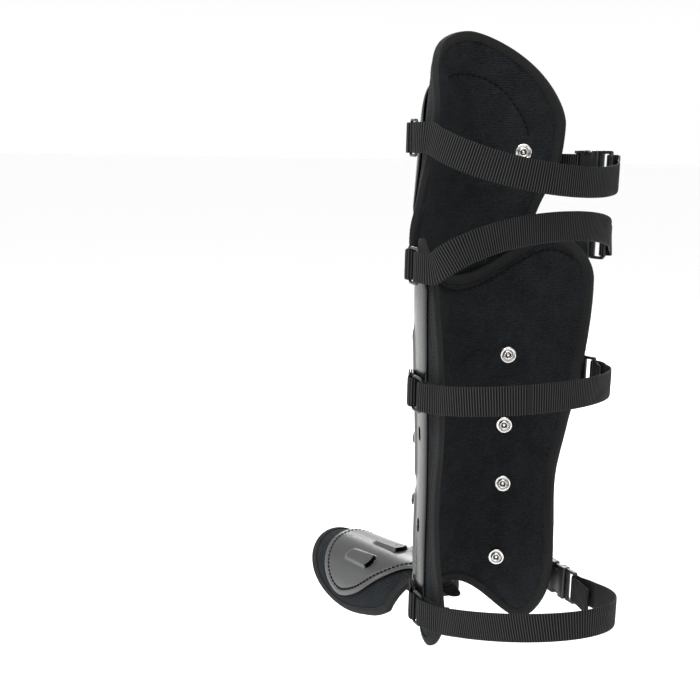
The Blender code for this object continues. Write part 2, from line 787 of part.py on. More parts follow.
def flat_outline(name, loops, thick):
    """Plate with holes from closed outlines in its own plane."""
    shape = bpy.data.curves.new(name, "CURVE")
    shape.dimensions = "2D"
    shape.fill_mode = "BOTH"
    shape.extrude = thick / 2
    for loop in loops:
        line = shape.splines.new("POLY")
        line.points.add(len(loop) - 1)
        for spot, (x, y) in zip(line.points, loop):
            spot.co = (x, y, 0, 1)
        line.use_cyclic_u = True
    made = bpy.data.objects.new(name, shape)
    cutters.objects.link(made)
    graph = bpy.context.evaluated_depsgraph_get()
    mesh = bpy.data.meshes.new_from_object(made.evaluated_get(graph))
    bpy.data.objects.remove(made)
    frame = bmesh.new()
    frame.from_mesh(mesh)
    bmesh.ops.remove_doubles(frame, verts=frame.verts, dist=1e-6)
    bmesh.ops.recalc_face_normals(frame, faces=frame.faces)
    frame.to_mesh(mesh)
    frame.free()
    return mesh


plug_foot = SOCKET_FRONT + 0.0006
plug_end = PLUG_BAR + BAR / 2
half_plug = [
    (plug_end, 0.0),
    (plug_end, SOCKET_HALF - 0.0015),
    (plug_end - 0.0015, SOCKET_HALF),
    (plug_foot, SOCKET_HALF),
    (plug_foot, 0.0125),
    (WINDOW[1] - 0.0008, 0.0125),
    (WINDOW[1] - 0.0008, 0.0150),
    (WINDOW[0] + 0.0012, 0.0146),
    (PRONG_TIP, 0.0115),
    (PRONG_TIP, 0.0090),
    (plug_foot - 0.004, 0.0085),
    (plug_foot, 0.0065),
    (plug_foot, 0.0022),
    (PRONG_TIP + 0.003, 0.0018),
    (PRONG_TIP + 0.002, 0.0),
]
plug_edge = half_plug + [(x, -y) for x, y in reversed(half_plug[1:-1])]
bar_side = PLUG_BAR - BAR / 2
plug_hole = [(0.0058, -SLOT_HALF), (0.0058, SLOT_HALF), (bar_side, SLOT_HALF), (bar_side, -SLOT_HALF)]
plug_mesh = flat_outline("plug_form", (plug_edge, plug_hole), PLUG_THICK)


def placed(name, mesh, place):
    copy = mesh.copy()
    copy.name = name
    copy.transform(place)
    copy.materials.clear()
    return finish(name, copy, ACETAL, smooth=False)


BUCKLE_OUT = LOOP_OUT + 0.0005
SOCKET_BAR = SOCKET_BACK + 0.0019
base = LOOP_OUT - FOLD
top_layer = base + LAYERS


def buckle_place(name):
    """Matrix of a buckle lying flat on the far side, +X toward the back of the leg."""
    angle, height = -STRAP_ANGLES[name]["buckle"], STRAP_LEVELS[name]["far"]
    middle = round_leg(name, angle, BUCKLE_OUT, height)
    out_way = (round_leg(name, angle, BUCKLE_OUT + 0.001, height) - middle).normalized()
    back_way = Vector((-out_way.y, out_way.x, 0)) * (1 if out_way.x < 0 else -1)
    if back_way.y < 0:
        back_way = -back_way
    place = Matrix((back_way, out_way.cross(back_way), out_way)).transposed().to_4x4()
    place.translation = middle
    return place


def eased(first, last, count):
    """Values between two ends, each paired with how far its rise has gone."""
    return [(first + (last - first) * k / count, ease(k / count, 0.0, 1.0)) for k in range(count + 1)]


for name in STRAP_LEVELS:
    near, far = STRAP_LEVELS[name]["near"], STRAP_LEVELS[name]["far"]
    lift = STRAP_LEVELS[name]["lift"]
    tab_start = STRAP_ANGLES[name]["tab"]
    front_bar = STRAP_ANGLES[name]["loop"] - LOOP_SPAN / 2
    rear_bar = STRAP_ANGLES[name]["loop"] + LOOP_SPAN / 2
    loop_frame(name)

    # The near tab goes from the shell round the loop's front bar and back
    laid = eased(tab_start, front_bar, 4)
    tab = [(angle, base, near, 1 - rise) for angle, rise in laid]
    tab += fold_round(name, front_bar, near, 1)
    tab += [(front_bar, LOOP_OUT + FOLD, near, 0.0)]
    tab += [(angle, top_layer, near, 1 - rise) for angle, rise in reversed(laid[:3])]
    webbing(f"{name}_tab", name, tab)

    place = buckle_place(name)
    placed(f"{name}_socket", socket_mesh, place)
    placed(f"{name}_plug", plug_mesh, place)

    # The far tab goes from the shell round the socket's bar and back
    guess = -STRAP_ANGLES[name]["buckle"]
    turns = [pi * k / 6 for k in range(7)]
    steps = [
        spot_of(name, place @ Vector((SOCKET_BAR + FOLD * sin(turn), 0, -FOLD * cos(turn))), guess)
        for turn in turns
    ]
    bar_angle, bar_out = steps[0]
    laid = eased(-tab_start, bar_angle, 4)
    anchor = [(angle, base + (bar_out - base) * rise, far, 1 - rise) for angle, rise in laid[:4]]
    anchor += [(angle, out, far, 0.0) for angle, out in steps]
    angle, out = spot_of(name, place @ Vector((SOCKET_BACK - 0.0025, 0, FOLD)), guess)
    run = (angle + tab_start) / (bar_angle + tab_start)
    spare = out - LAYERS - base - (bar_out - base) * ease(run, 0.0, 1.0)
    anchor += [(angle, out, far, 0.0)]
    for k in (3, 2, 1, 0):
        rise = ease(run * k / 4, 0.0, 1.0)
        height_out = base + LAYERS + (bar_out - base) * rise + spare * k / 4
        anchor.append((-tab_start + (angle + tab_start) * k / 4, height_out, far, 1 - rise))
    webbing(f"{name}_anchor", name, anchor)

    # The strap: inner layer, round the loop's rear bar, behind the leg, round the plug's bar and back
    strap = [(rear_bar + 20 * (1 - k / 3), base, near, 0.0) for k in range(4)]
    strap += fold_round(name, rear_bar, near, -1)
    strap += [(rear_bar, LOOP_OUT + FOLD, near, 0.0), (rear_bar + 5, top_layer + FOLD, near, 0.0)]
    straight = PLUG_BAR + 0.004
    steps = [spot_of(name, place @ Vector((straight, 0, FOLD)), guess)]
    steps += [
        spot_of(name, place @ Vector((PLUG_BAR - FOLD * sin(turn), 0, FOLD * cos(turn))), guess)
        for turn in turns
    ]
    steps += [spot_of(name, place @ Vector((straight, 0, -FOLD)), guess)]
    leave, arrive = rear_bar + 11, steps[0][0] + 360
    for k in range(19):
        share = k / 19
        out = top_layer + (steps[0][1] - top_layer) * ease(share, 0.9, 1.0)
        level = near + (far - near) * share + lift * sin(pi * share)
        strap.append((leave + (arrive - leave) * share, out, level, 0.0))
    strap += [(angle + 360, out, far, 0.0) for angle, out in steps]
    angle, out = steps[-1]
    strap += [(angle + 360 - 3 * k, out + (top_layer - 2 * LAYERS - out) * ease(k, 0, 3), far, 0.0)
              for k in (1, 2, 4)]
    webbing(f"{name}_strap", name, strap)
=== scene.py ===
from math import atan2, cos, pi, radians, sin

import bmesh
import bpy
import numpy as np
from mathutils import Matrix, Vector


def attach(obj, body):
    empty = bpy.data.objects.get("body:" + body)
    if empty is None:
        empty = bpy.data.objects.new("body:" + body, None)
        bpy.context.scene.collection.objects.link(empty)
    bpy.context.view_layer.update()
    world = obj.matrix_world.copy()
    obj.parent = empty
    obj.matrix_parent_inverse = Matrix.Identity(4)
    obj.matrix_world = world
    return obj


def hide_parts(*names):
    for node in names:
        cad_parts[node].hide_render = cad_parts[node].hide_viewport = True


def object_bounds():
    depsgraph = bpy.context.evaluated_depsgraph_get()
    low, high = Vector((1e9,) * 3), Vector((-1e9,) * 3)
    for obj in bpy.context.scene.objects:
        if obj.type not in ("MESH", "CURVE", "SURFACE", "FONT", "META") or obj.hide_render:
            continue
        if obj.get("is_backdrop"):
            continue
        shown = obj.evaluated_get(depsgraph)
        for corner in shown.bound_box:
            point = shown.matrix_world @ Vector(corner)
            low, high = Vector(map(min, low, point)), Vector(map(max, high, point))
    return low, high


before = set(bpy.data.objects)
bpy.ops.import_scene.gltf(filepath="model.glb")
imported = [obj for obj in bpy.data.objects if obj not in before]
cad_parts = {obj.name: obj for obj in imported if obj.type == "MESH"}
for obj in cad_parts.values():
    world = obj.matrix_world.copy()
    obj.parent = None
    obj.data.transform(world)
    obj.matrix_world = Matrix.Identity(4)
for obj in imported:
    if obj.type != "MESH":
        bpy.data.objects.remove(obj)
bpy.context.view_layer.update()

# stock thicknesses and clearances, in metres
gap, liner, shell = 0.0003, 0.0055, 0.0025
tapeThick, tapeDepth = 0.0009, 0.0068
webWidth, web, bar = 0.025, 0.0015, 0.0024
seatHeight = 0.250
weld = 2e-6


def rowsOf(names, rows):
    # a table with named columns
    return [dict(zip(names.split(), row)) for row in rows]


shinRows = rowsOf("height radius wrap front", (
    (-0.010, 0.055, 97, 0.0),
    (0.050, 0.066, 97, 0.0),
    (0.095, 0.070, 90, 0.0),
    (0.150, 0.071, 87, 0.0),
    (0.195, 0.074, 90, 0.0),
    (0.270, 0.084, 89, 0.0),
    (0.340, 0.092, 83, 0.0),
    (0.390, 0.092, 80, 0.0),
))
kneeRows = rowsOf("height radius wrap front", (
    (0.310, 0.0985, 30, -0.0103),
    (0.384, 0.0980, 45, -0.0103),
    (0.406, 0.088, 54, -0.0080),
    (0.432, 0.083, 65, -0.0065),
    (0.470, 0.077, 75, -0.0065),
    (0.510, 0.072, 78, -0.0045),
    (0.560, 0.070, 77, 0.0030),
))
capRows = rowsOf("height wrap", (
    (0.390, 40),
    (0.415, 49),
    (0.445, 56),
    (0.520, 58),
))
footSize = dict(radius=0.044, start=-0.0175, ridge=0.0369, lift=-0.019, length=0.190)
padRows = rowsOf("length half", (
    (0.0, 0.046),
    (0.025, 0.066),
    (0.065, 0.079),
    (0.190, 0.079),
))
plateRows = rowsOf("length half", (
    (0.003, 0.014),
    (0.022, 0.018),
    (0.044, 0.036),
    (0.070, 0.057),
    (0.090, 0.065),
    (0.160, 0.065),
))
tongueRows = rowsOf("length half", (
    (-0.034, 0.004),
    (-0.029, 0.010),
    (-0.020, 0.012),
    (0.034, 0.012),
))
legRows = {"shin": shinRows, "knee": kneeRows}


def smoothed(values, slopes, i, t, span):
    # cubic from one row to the next that keeps the slope at both
    rising = values[i] * (1 + 2 * t) * (1 - t) ** 2 + values[i + 1] * t * t * (3 - 2 * t)
    return rising + slopes[i] * span * t * (1 - t) ** 2 + slopes[i + 1] * span * t * t * (t - 1)


def column(rows, key, name, value):
    # smooth value of a table's column between its rows
    keys = np.array([row[key] for row in rows])
    values = np.array([row[name] for row in rows], float)
    slopes = np.gradient(values, keys)
    at = np.clip(value, keys[0], keys[-1])
    i = np.clip(np.searchsorted(keys, at, side="right") - 1, 0, len(keys) - 2)
    span = keys[i + 1] - keys[i]
    return smoothed(values, slopes, i, (at - keys[i]) / span, span)


def centreOf(panel, height):
    radius = column(legRows[panel], "height", "radius", height)
    return radius, column(legRows[panel], "height", "front", height) + radius - liner / 2


def onLeg(panel, angle, height, out=0.0):
    radius, centre = centreOf(panel, height)
    turn = np.radians(angle)
    x = (radius + out) * np.sin(turn)
    y = centre - (radius + out) * np.cos(turn)
    return np.stack(np.broadcast_arrays(x, y, height - seatHeight), -1)


def snapLeg(panel, places, out):
    radius, centre = centreOf(panel, places[..., 2] + seatHeight)
    x, y = places[..., 0], places[..., 1] - centre
    scale = (radius + out) / np.hypot(x, y)
    return np.stack([x * scale, centre + y * scale, places[..., 2]], -1)


def offLeg(panel, places):
    # how far out from the panel's mid surface each place is
    radius, centre = centreOf(panel, places[..., 2] + seatHeight)
    return np.hypot(places[..., 0], places[..., 1] - centre) - radius


def footAxis(length):
    return footSize["ridge"] + footSize["lift"] * length / footSize["length"] - seatHeight - footSize["radius"]


def onFoot(across, length, out=0.0):
    turn = across / footSize["radius"]
    x = (footSize["radius"] + out) * np.sin(turn)
    z = footAxis(length) + (footSize["radius"] + out) * np.cos(turn)
    return np.stack(np.broadcast_arrays(x, footSize["start"] - length, z), -1)


def snapFoot(places, out):
    axis = footAxis(footSize["start"] - places[..., 1])
    x, z = places[..., 0], places[..., 2] - axis
    scale = (footSize["radius"] + out) / np.hypot(x, z)
    return np.stack([x * scale, places[..., 1], axis + z * scale], -1)


def offFoot(places):
    axis = footAxis(footSize["start"] - places[..., 1])
    return np.hypot(places[..., 0], places[..., 2] - axis) - footSize["radius"]


def ease(value, start, end):
    t = np.clip((value - start) / (end - start), 0.0, 1.0)
    return t * t * (3 - 2 * t)


def roundTop(share, power):
    return np.clip(1 - np.abs(share) ** power, 0.0, None) ** (1 / power)


def cornerDrop(share, start):
    t = np.clip((np.abs(share) - start) / (1 - start), 0.0, 1.0)
    return 1 - np.sqrt(1 - t * t)


def plateau(value, start, end, ramp):
    return ease(value, start - ramp, start) * (1 - ease(value, end, end + ramp))


def shinLow(p):
    arch = 0.034 * (1 + np.cos(pi * np.minimum(1.0, np.abs(p) / 0.80))) / 2
    return arch + 0.040 * cornerDrop(p, 0.80)


def shinHigh(p):
    rise = 0.042 * np.sin(pi / 2 * np.minimum(1.0, np.abs(p) / 0.78)) ** 2
    return 0.336 + rise - 0.042 * cornerDrop(p, 0.62)


def kneeLow(p):
    return 0.322 + 0.016 * np.abs(p) ** 2 + 0.012 * cornerDrop(p, 0.6)


def kneeHigh(p):
    return 0.476 + 0.079 * roundTop(p, 1.7)


def shellLow(p):
    return 0.030 + 0.024 * (1 - ease(np.abs(p), 0.10, 0.52)) + 0.014 * cornerDrop(p, 0.78)


def shellHigh(p):
    return 0.309 + 0.043 * ease(np.abs(p), 0.68, 0.78) - 0.014 * cornerDrop(p, 0.80)


def capLow(p):
    return 0.390 + 0.020 * cornerDrop(p, 0.55)


def capHigh(p):
    return 0.452 + 0.068 * roundTop(p, 2.0)


def padLow(p):
    return 0.020 * np.abs(p) ** 1.5


def padHigh(p):
    return 0.090 + 0.100 * roundTop(p, 2.0)


def plateLow(p):
    return np.full_like(p, 0.003)


def plateHigh(p):
    return 0.090 + 0.070 * roundTop(p, 1.9)


def tongueLow(p):
    return -0.034 + 0.002 * np.abs(p) ** 2


def tongueHigh(p):
    return np.full_like(p, 0.034)


def legPanel(name, low, high, rows=None, wrap=None):
    def at(p, height, out=0.0):
        half = wrap or column(rows or legRows[name], "height", "wrap", height)
        return onLeg(name, p * half, height, out)
    return dict(at=at, snap=lambda places, out: snapLeg(name, places, out),
                off=lambda places: offLeg(name, places), low=low, high=high, turn=1)


def footPanel(rows, low, high):
    def at(p, length, out=0.0):
        return onFoot(p * column(rows, "length", "half", length), length, out)
    return dict(at=at, snap=snapFoot, off=offFoot, low=low, high=high, turn=-1)


panels = dict(
    shinLiner=legPanel("shin", shinLow, shinHigh),
    kneeLiner=legPanel("knee", kneeLow, kneeHigh),
    shinShell=legPanel("shin", shellLow, shellHigh, wrap=78.0),
    kneeShell=legPanel("knee", capLow, capHigh, rows=capRows),
    footPad=footPanel(padRows, padLow, padHigh),
    footPlate=footPanel(plateRows, plateLow, plateHigh),
    footTongue=footPanel(tongueRows, tongueLow, tongueHigh),
)
rivets = rowsOf("name panel angle height", (
    ("knee", "knee", 46, 0.451),
    ("shin_1", "shin", 38, 0.260),
    ("shin_2", "shin", 42, 0.191),
    ("shin_3", "shin", 45, 0.132),
    ("shin_4", "shin", 45, 0.056),
))


# a shader socket that plain sums and products work on
class Wire:
    def __init__(self, tree, socket):
        self.tree, self.socket = tree, socket

    def made(self, kind, settings, inputs, output=0):
        node = self.tree.nodes.new(kind)
        for key, value in settings.items():
            setattr(node, key, value)
        for key, value in inputs.items():
            if isinstance(value, Wire):
                self.tree.links.new(value.socket, node.inputs[key])
            else:
                node.inputs[key].default_value = value
        return Wire(self.tree, node.outputs[output])

    def reckon(self, operation, first, second):
        return self.made("ShaderNodeMath", {"operation": operation}, {0: first, 1: second})

    def __add__(self, other):
        return self.reckon("ADD", self, other)

    def __radd__(self, other):
        return self.reckon("ADD", other, self)

    def __sub__(self, other):
        return self.reckon("SUBTRACT", self, other)

    def __rsub__(self, other):
        return self.reckon("SUBTRACT", other, self)

    def __mul__(self, other):
        return self.reckon("MULTIPLY", self, other)

    def __rmul__(self, other):
        return self.reckon("MULTIPLY", other, self)

    def __pow__(self, other):
        return self.reckon("POWER", self, other)

    def wave(self, period, phase=0.0):
        # 0 to 1 sine, its period in the wire's own unit
        angle = self * (2 * pi / period) + phase
        return self.made("ShaderNodeMath", {"operation": "SINE"}, {0: angle}) * 0.5 + 0.5

    def between(self, low, high, first=0.0, last=1.0):
        return self.made("ShaderNodeMapRange", {"interpolation_type": "SMOOTHSTEP"},
                         {"Value": self, "From Min": low, "From Max": high, "To Min": first, "To Max": last})

    def noise(self, scale, detail=2.0, rough=0.5):
        inputs = {"Vector": self, "Scale": scale, "Detail": detail, "Roughness": rough}
        return self.made("ShaderNodeTexNoise", {}, inputs)

    def stretched(self, *scale):
        return self.made("ShaderNodeMapping", {}, {"Vector": self, "Scale": scale})

    def axis(self, index):
        return self.made("ShaderNodeSeparateXYZ", {}, {"Vector": self}, index)

    def mixed(self, first, last):
        # this wire is the factor between two colours
        return self.made("ShaderNodeMix", {"data_type": "RGBA"}, {0: self, 6: first, 7: last}, 2)

    def bump(self, distance, strength=1.0):
        return self.made("ShaderNodeBump", {}, {"Height": self, "Distance": distance, "Strength": strength})


def newSurface(name, look):
    made = bpy.data.materials.new(name)
    made.use_nodes = True
    tree = made.node_tree
    shader = tree.nodes["Principled BSDF"]
    for key, value in look.items():
        shader.inputs[key].default_value = value
    coords = tree.nodes.new("ShaderNodeTexCoord")
    return made, shader, Wire(tree, coords.outputs["Object"]), Wire(tree, coords.outputs["UV"])


def join(shader, **wires):
    for key, wire in wires.items():
        wire.tree.links.new(wire.socket, shader.inputs[key.replace("_", " ")])


def grey(level, cool=0.0):
    return (level * (1 - cool), level, level * (1 + cool), 1.0)


# brushed loop cloth: short matt pile, faint knit rows, pale lint here and there
look = {"Roughness": 0.95, "Sheen Weight": 0.035, "Sheen Roughness": 0.6, "Sheen Tint": (0.70, 0.78, 0.86, 1),
        "Specular IOR Level": 0.10}
brushedCloth, shader, spot, uv = newSurface("brushedCloth", look)
pile = spot.noise(1300.0, 4.0, 0.7)
knit = spot.stretched(1.0, 1.0, 3.4).noise(330.0, 3.0, 0.65)
mottle = spot.noise(42.0, 4.0, 0.6)
rows = spot.axis(2).wave(0.0021, spot.noise(120.0, 2.0) * 6.0)
lint = spot.noise(620.0, 1.0).between(0.735, 0.775)
shade = pile * 0.36 + knit * 0.52 + mottle * 0.24 + rows * 0.10
base = shade.between(0.42, 0.82).mixed((0.0032, 0.0039, 0.0045, 1), (0.0200, 0.0228, 0.0256, 1))
join(shader, Base_Color=(lint * 0.45).mixed(base, grey(0.060, 0.03)),
     Roughness=pile.between(0.2, 0.8, 0.88, 1.0),
     Normal=(pile * 0.6 + knit * 0.8 + rows * 0.2 + mottle * 0.4).bump(0.00045, 0.9))

# twill tape: fine diagonal ribs
look = {"Roughness": 0.9, "Sheen Weight": 0.03, "Sheen Roughness": 0.5, "Specular IOR Level": 0.14}
twillTape, shader, spot, uv = newSurface("twillTape", look)
slant = uv.axis(0) + uv.axis(1) * 0.9
twill = slant.wave(0.13)  # the map is in centimetres
fuzz = spot.noise(2100.0, 3.0, 0.6)
fade = spot.noise(30.0, 3.0)
tone = (twill * 0.50 + fuzz * 0.34 + fade * 0.25).between(0.30, 0.80)
join(shader, Base_Color=tone.mixed(grey(0.0048, 0.04), grey(0.029, 0.01)),
     Roughness=fuzz.between(0.2, 0.8, 0.80, 0.97),
     Normal=(twill * 0.8 + fuzz * 0.4).bump(0.00025, 0.9))

# ribbed nylon webbing: yarn along the strap over the ribs, with painted shade near black in the valleys between
# the ribs
look = {"Roughness": 0.66, "Sheen Weight": 0.01, "Sheen Roughness": 0.4, "Specular IOR Level": 0.10}
nylonWeb, shader, spot, uv = newSurface("nylonWeb", look)
yarn = uv.axis(1).wave(0.075)
# rib follows the mesh's ribs: painted shade in the valleys, paler on the rib tops
rib = uv.axis(0).wave(0.22, pi / 2)
fuzz = spot.noise(1900.0, 3.0, 0.65)
rub = spot.noise(60.0, 3.0).between(0.42, 0.75)
tone = (rib * 0.70 + yarn * 0.12 + fuzz * 0.26).between(0.50, 0.98)
join(shader, Base_Color=(rub * 0.16).mixed(tone.mixed(grey(0.0007, 0.02), grey(0.047, 0.02)), grey(0.030, 0.0)),
     Roughness=(fuzz * 0.4 + rub * 0.3).between(0.1, 0.6, 0.56, 0.80),
     Normal=(yarn * 0.30 + fuzz * 0.55).bump(0.00020, 0.8))

# moulded black shell: fine grain, soft scuffs
look = {"Roughness": 0.34, "Specular IOR Level": 0.5}
shellPlastic, shader, spot, uv = newSurface("shellPlastic", look)
grain = spot.noise(1100.0, 3.0, 0.6)
cloud = spot.noise(24.0, 4.0, 0.6)
scuff = spot.stretched(1.0, 1.0, 0.12).noise(420.0, 3.0, 0.7).between(0.62, 0.74)
join(shader, Base_Color=(cloud * 0.5 + scuff * 0.25).mixed(grey(0.0050, 0.03), grey(0.016, 0.02)),
     Roughness=(cloud * 0.5 + scuff * 0.6 + grain * 0.2).between(0.1, 1.0, 0.24, 0.46),
     Normal=(grain * 0.5 + scuff * 0.15).bump(0.00012, 0.55))

# satin grey-black instep plate, rubbed pale on its high places, with painted shade: the steep rib ends that
# face the shin are painted near black
look = {"Roughness": 0.32, "Specular IOR Level": 0.8}
platePlastic, shader, spot, uv = newSurface("platePlastic", look)
grain = spot.noise(1300.0, 3.0, 0.6)
cloud = spot.noise(34.0, 4.0, 0.6)
scuff = spot.stretched(0.25, 1.0, 1.0).noise(480.0, 3.0, 0.7).between(0.60, 0.73)
# the map's first coordinate is the painted shade on the steep rib ends, near black and metallic there
dark = uv.axis(0)
base = (cloud * 0.45 + scuff * 0.35).mixed(grey(0.034, 0.02), grey(0.078, 0.02))
join(shader, Metallic=dark, Base_Color=dark.mixed(base, grey(0.0015, 0.0)),
     Roughness=(cloud * 0.5 + scuff * 0.5 + grain * 0.3).between(0.1, 1.1, 0.29, 0.38) + dark * 0.5,
     Normal=(grain * 0.6 + scuff * 0.1).bump(0.00012, 0.5))

# buckle acetal: satin with a faint flow of the mould
look = {"Roughness": 0.34, "Specular IOR Level": 0.5}
acetal, shader, spot, uv = newSurface("acetal", look)
grain = spot.noise(1500.0, 2.0)
flow = spot.stretched(1.0, 1.0, 0.3).noise(120.0, 3.0, 0.6)
join(shader, Base_Color=(flow * 0.7).mixed(grey(0.0080, 0.08), grey(0.030, 0.06)),
     Roughness=(flow * 0.6 + grain * 0.4).between(0.2, 0.8, 0.25, 0.44),
     Normal=(grain * 0.5 + flow * 0.3).bump(0.00010, 0.5))

# nickel plate: turning marks, finger dulling, and painted shade in the well and the groove;
# the map is the radius in mm
look = {"Metallic": 1.0, "Roughness": 0.2}
nickelPlate, shader, spot, uv = newSurface("nickelPlate", look)
radius = uv.axis(1)
turning = radius.wave(0.35)
smear = spot.noise(260.0, 4.0, 0.6)
pits = spot.noise(1700.0, 1.0).between(0.70, 0.78)
# painted shade: near-black rings at the well's radius and at the groove's radius
ringShade = radius.between(1.4, 1.7) * radius.between(2.4, 2.75, 1.0, 0.0)
ringShade = ringShade + radius.between(4.7, 4.95) * radius.between(5.2, 5.6, 1.0, 0.0) * 0.8
metal = (smear * 0.6 + pits * 0.4).between(0.2, 0.8).mixed(grey(0.84, -0.02), grey(0.55, -0.05))
dull = radius.between(-0.9, -0.5, 1.0, 0.0)
join(shader, Base_Color=dull.mixed((ringShade * 0.95).mixed(metal, grey(0.020, 0.0)), grey(0.16, 0.0)),
     Roughness=(smear * 0.7 + turning * 0.15 + ringShade * 0.5 + dull * 0.5).between(0.2, 1.1, 0.10, 0.42),
     Normal=(turning * 0.5 + smear * 0.3).bump(0.00003, 0.3))

# sewing thread: two plies
look = {"Roughness": 0.6, "Specular IOR Level": 0.12}
thread, shader, spot, uv = newSurface("thread", look)
ply = (uv.axis(0) + uv.axis(1) * 0.5).wave(0.09)
fuzz = spot.noise(2600.0, 2.0)
join(shader, Base_Color=(ply * 0.6 + fuzz * 0.4).mixed(grey(0.0008, 0.02), grey(0.008, 0.02)),
     Roughness=fuzz.between(0.2, 0.8, 0.5, 0.75), Normal=(ply * 0.8 + fuzz * 0.3).bump(0.00010, 0.8))

print("materials made")


def toMesh(bm, name):
    mesh = bpy.data.meshes.new(name)
    bm.to_mesh(mesh)
    bm.free()
    return mesh


def put(name, data):
    made = bpy.data.objects.new(name, data)
    bpy.context.scene.collection.objects.link(made)
    return made


def shaped(thing):
    # a mesh of its own with the modifiers worked in
    return bpy.data.meshes.new_from_object(thing.evaluated_get(bpy.context.evaluated_depsgraph_get()))


def framed(first, second, third, here):
    place = Matrix((first, second, third)).transposed().to_4x4()
    place.translation = here
    return place


def netOf(points, cells=None, wrapU=False, wrapV=False):
    # one patch of cloth or plastic; cells are its map, mostly in centimetres
    if cells is None:
        cells = np.zeros(points.shape[:2] + (2,))
    if wrapU:
        points, cells = np.concatenate([points, points[:1]]), np.concatenate([cells, cells[:1]])
    if wrapV:
        points = np.concatenate([points, points[:, :1]], 1)
        cells = np.concatenate([cells, cells[:, :1]], 1)
    return points, cells


def weave(name, nets, stuff, replaces=(), caps=False):
    # grids laid on the patches, welded where they meet
    bm = bmesh.new()
    maps = {}
    for points, cells in nets:
        n, m = points.shape[0] - 1, points.shape[1] - 1
        for vert in bmesh.ops.create_grid(bm, x_segments=n, y_segments=m, size=1.0)["verts"]:
            i, j = round((vert.co.x + 1) / 2 * n), round((vert.co.y + 1) / 2 * m)
            vert.co = points[i, j]
            maps[vert] = cells[i, j]
    layer = bm.loops.layers.uv.new("weave")
    for face in bm.faces:
        for corner in face.loops:
            corner[layer].uv = maps[corner.vert]
    bmesh.ops.remove_doubles(bm, verts=bm.verts, dist=weld)
    if caps:
        bmesh.ops.holes_fill(bm, edges=[edge for edge in bm.edges if edge.is_boundary], sides=0)
    bmesh.ops.recalc_face_normals(bm, faces=bm.faces)
    return keep(name, toMesh(bm, name), stuff, replaces)


def keep(name, mesh, stuff, replaces=()):
    mesh.materials.clear()
    mesh.materials.append(stuff)
    mesh.polygons.foreach_set("use_smooth", [True] * len(mesh.polygons))
    piece = put(name, mesh)
    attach(piece, "root")
    if replaces:
        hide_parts(*replaces)
    return piece


def runOf(points):
    # how far along a line each of its points is
    return np.concatenate([[0], np.cumsum(np.linalg.norm(np.diff(points, axis=0), axis=1))])


def unit(vectors):
    return vectors / np.maximum(np.linalg.norm(vectors, axis=-1, keepdims=True), 1e-12)


def outline(panel, spacing):
    # even loop round a panel's edge, with its run, normal and the way out of the panel
    u, q = np.sin(np.linspace(-pi / 2, pi / 2, 700)), np.linspace(0, 1, 300)[1:-1]
    low, high = panel["low"](np.array(1.0)), panel["high"](np.array(1.0))
    p = np.concatenate([u, np.ones_like(q), u[::-1], -np.ones_like(q), u[:1]])
    h = np.concatenate([panel["low"](u), low + (high - low) * q, panel["high"](u[::-1]),
                        high + (low - high) * q, panel["low"](u[:1])])
    far = runOf(panel["at"](p, h))
    count = int(far[-1] / spacing)
    at = np.arange(count) * far[-1] / count
    p, h = np.interp(at, far, p), np.interp(at, far, h)
    mid = panel["at"](p, h)
    run = unit(np.roll(mid, -2, 0) - np.roll(mid, 2, 0))
    normal = unit(panel["at"](p, h, 0.001) - mid)
    away = np.cross(run, normal) * panel["turn"]
    reach = max(1, int(0.003 / spacing))
    away = unit(sum(np.roll(away, k, 0) for k in range(-reach, reach + 1)))
    return dict(p=p, h=h, mid=mid, run=run, normal=normal, away=away, at=at)


def nearest(places, spots):
    # distance from each place to the nearest of the spots
    flat = places.reshape(-1, 3)
    found = np.full(len(flat), 1.0)
    for i in range(0, len(spots), 200):
        part = spots[i:i + 200]
        found = np.minimum(found, np.sqrt(((flat[:, None] - part[None]) ** 2).sum(-1)).min(1))
    return found.reshape(places.shape[:-1])


def ripple(places, size, seed):
    # soft unevenness from a few crossing waves, -1 to 1
    rng = np.random.default_rng(seed)
    total = np.zeros(places.shape[:-1])
    for k in range(9):
        way = rng.normal(size=3)
        way *= 2 * pi / (size * rng.uniform(0.6, 1.6)) / np.linalg.norm(way)
        total += np.sin(places @ way + rng.uniform(0, 2 * pi))
    return total / 4.5


def grid(panel, columns, rows, bend=0.7):
    u, q = np.linspace(-1, 1, columns), np.linspace(0, 1, rows)
    p = (1 - bend) * u + bend * np.sin(pi / 2 * u)
    q = 0.7 * q + 0.3 * (1 - np.cos(pi * q)) / 2
    low, high = panel["low"](p), panel["high"](p)
    height = low[:, None] + q[None] * (high - low)[:, None]
    return np.broadcast_to(p[:, None], height.shape), height


def border(points):
    return np.concatenate([points[:, 0], points[-1, 1:], points[-2::-1, -1], points[0, -2:0:-1]])


def slab(name, panel, columns, rows, outer, inner, stuff, replaces=(), bulge=1.0, bend=0.7, paint=None):
    # closed panel from an outer and an inner offset and a rounded rim between them
    p, height = grid(panel, columns, rows, bend)
    mid = panel["at"](p, height)
    edge = outline(panel, 0.0012)["mid"]
    near = nearest(mid, edge)
    faces = [panel["at"](p, height, side(p, height, mid, near)) for side in (outer, inner)]
    cells = np.stack([paint(p, height) if paint else p * 10, height * 100], -1)
    first, last = border(faces[0]), border(faces[1])
    middle, half = (first + last) / 2, (first - last) / 2
    run = unit(np.roll(middle, -1, 0) - np.roll(middle, 1, 0))
    away = unit(np.cross(run, unit(half))) * panel["turn"]
    swings = np.linspace(0, pi, 7)
    thick = np.linalg.norm(half, axis=-1, keepdims=True)
    rim = np.stack([middle + half * cos(s) + away * thick * sin(s) * bulge for s in swings], 1)
    rimCells = np.broadcast_to(border(cells)[:, None], rim.shape[:2] + (2,))
    nets = [netOf(faces[0], cells), netOf(faces[1], cells), netOf(rim, rimCells, wrapU=True)]
    return weave(name, nets, stuff, replaces)


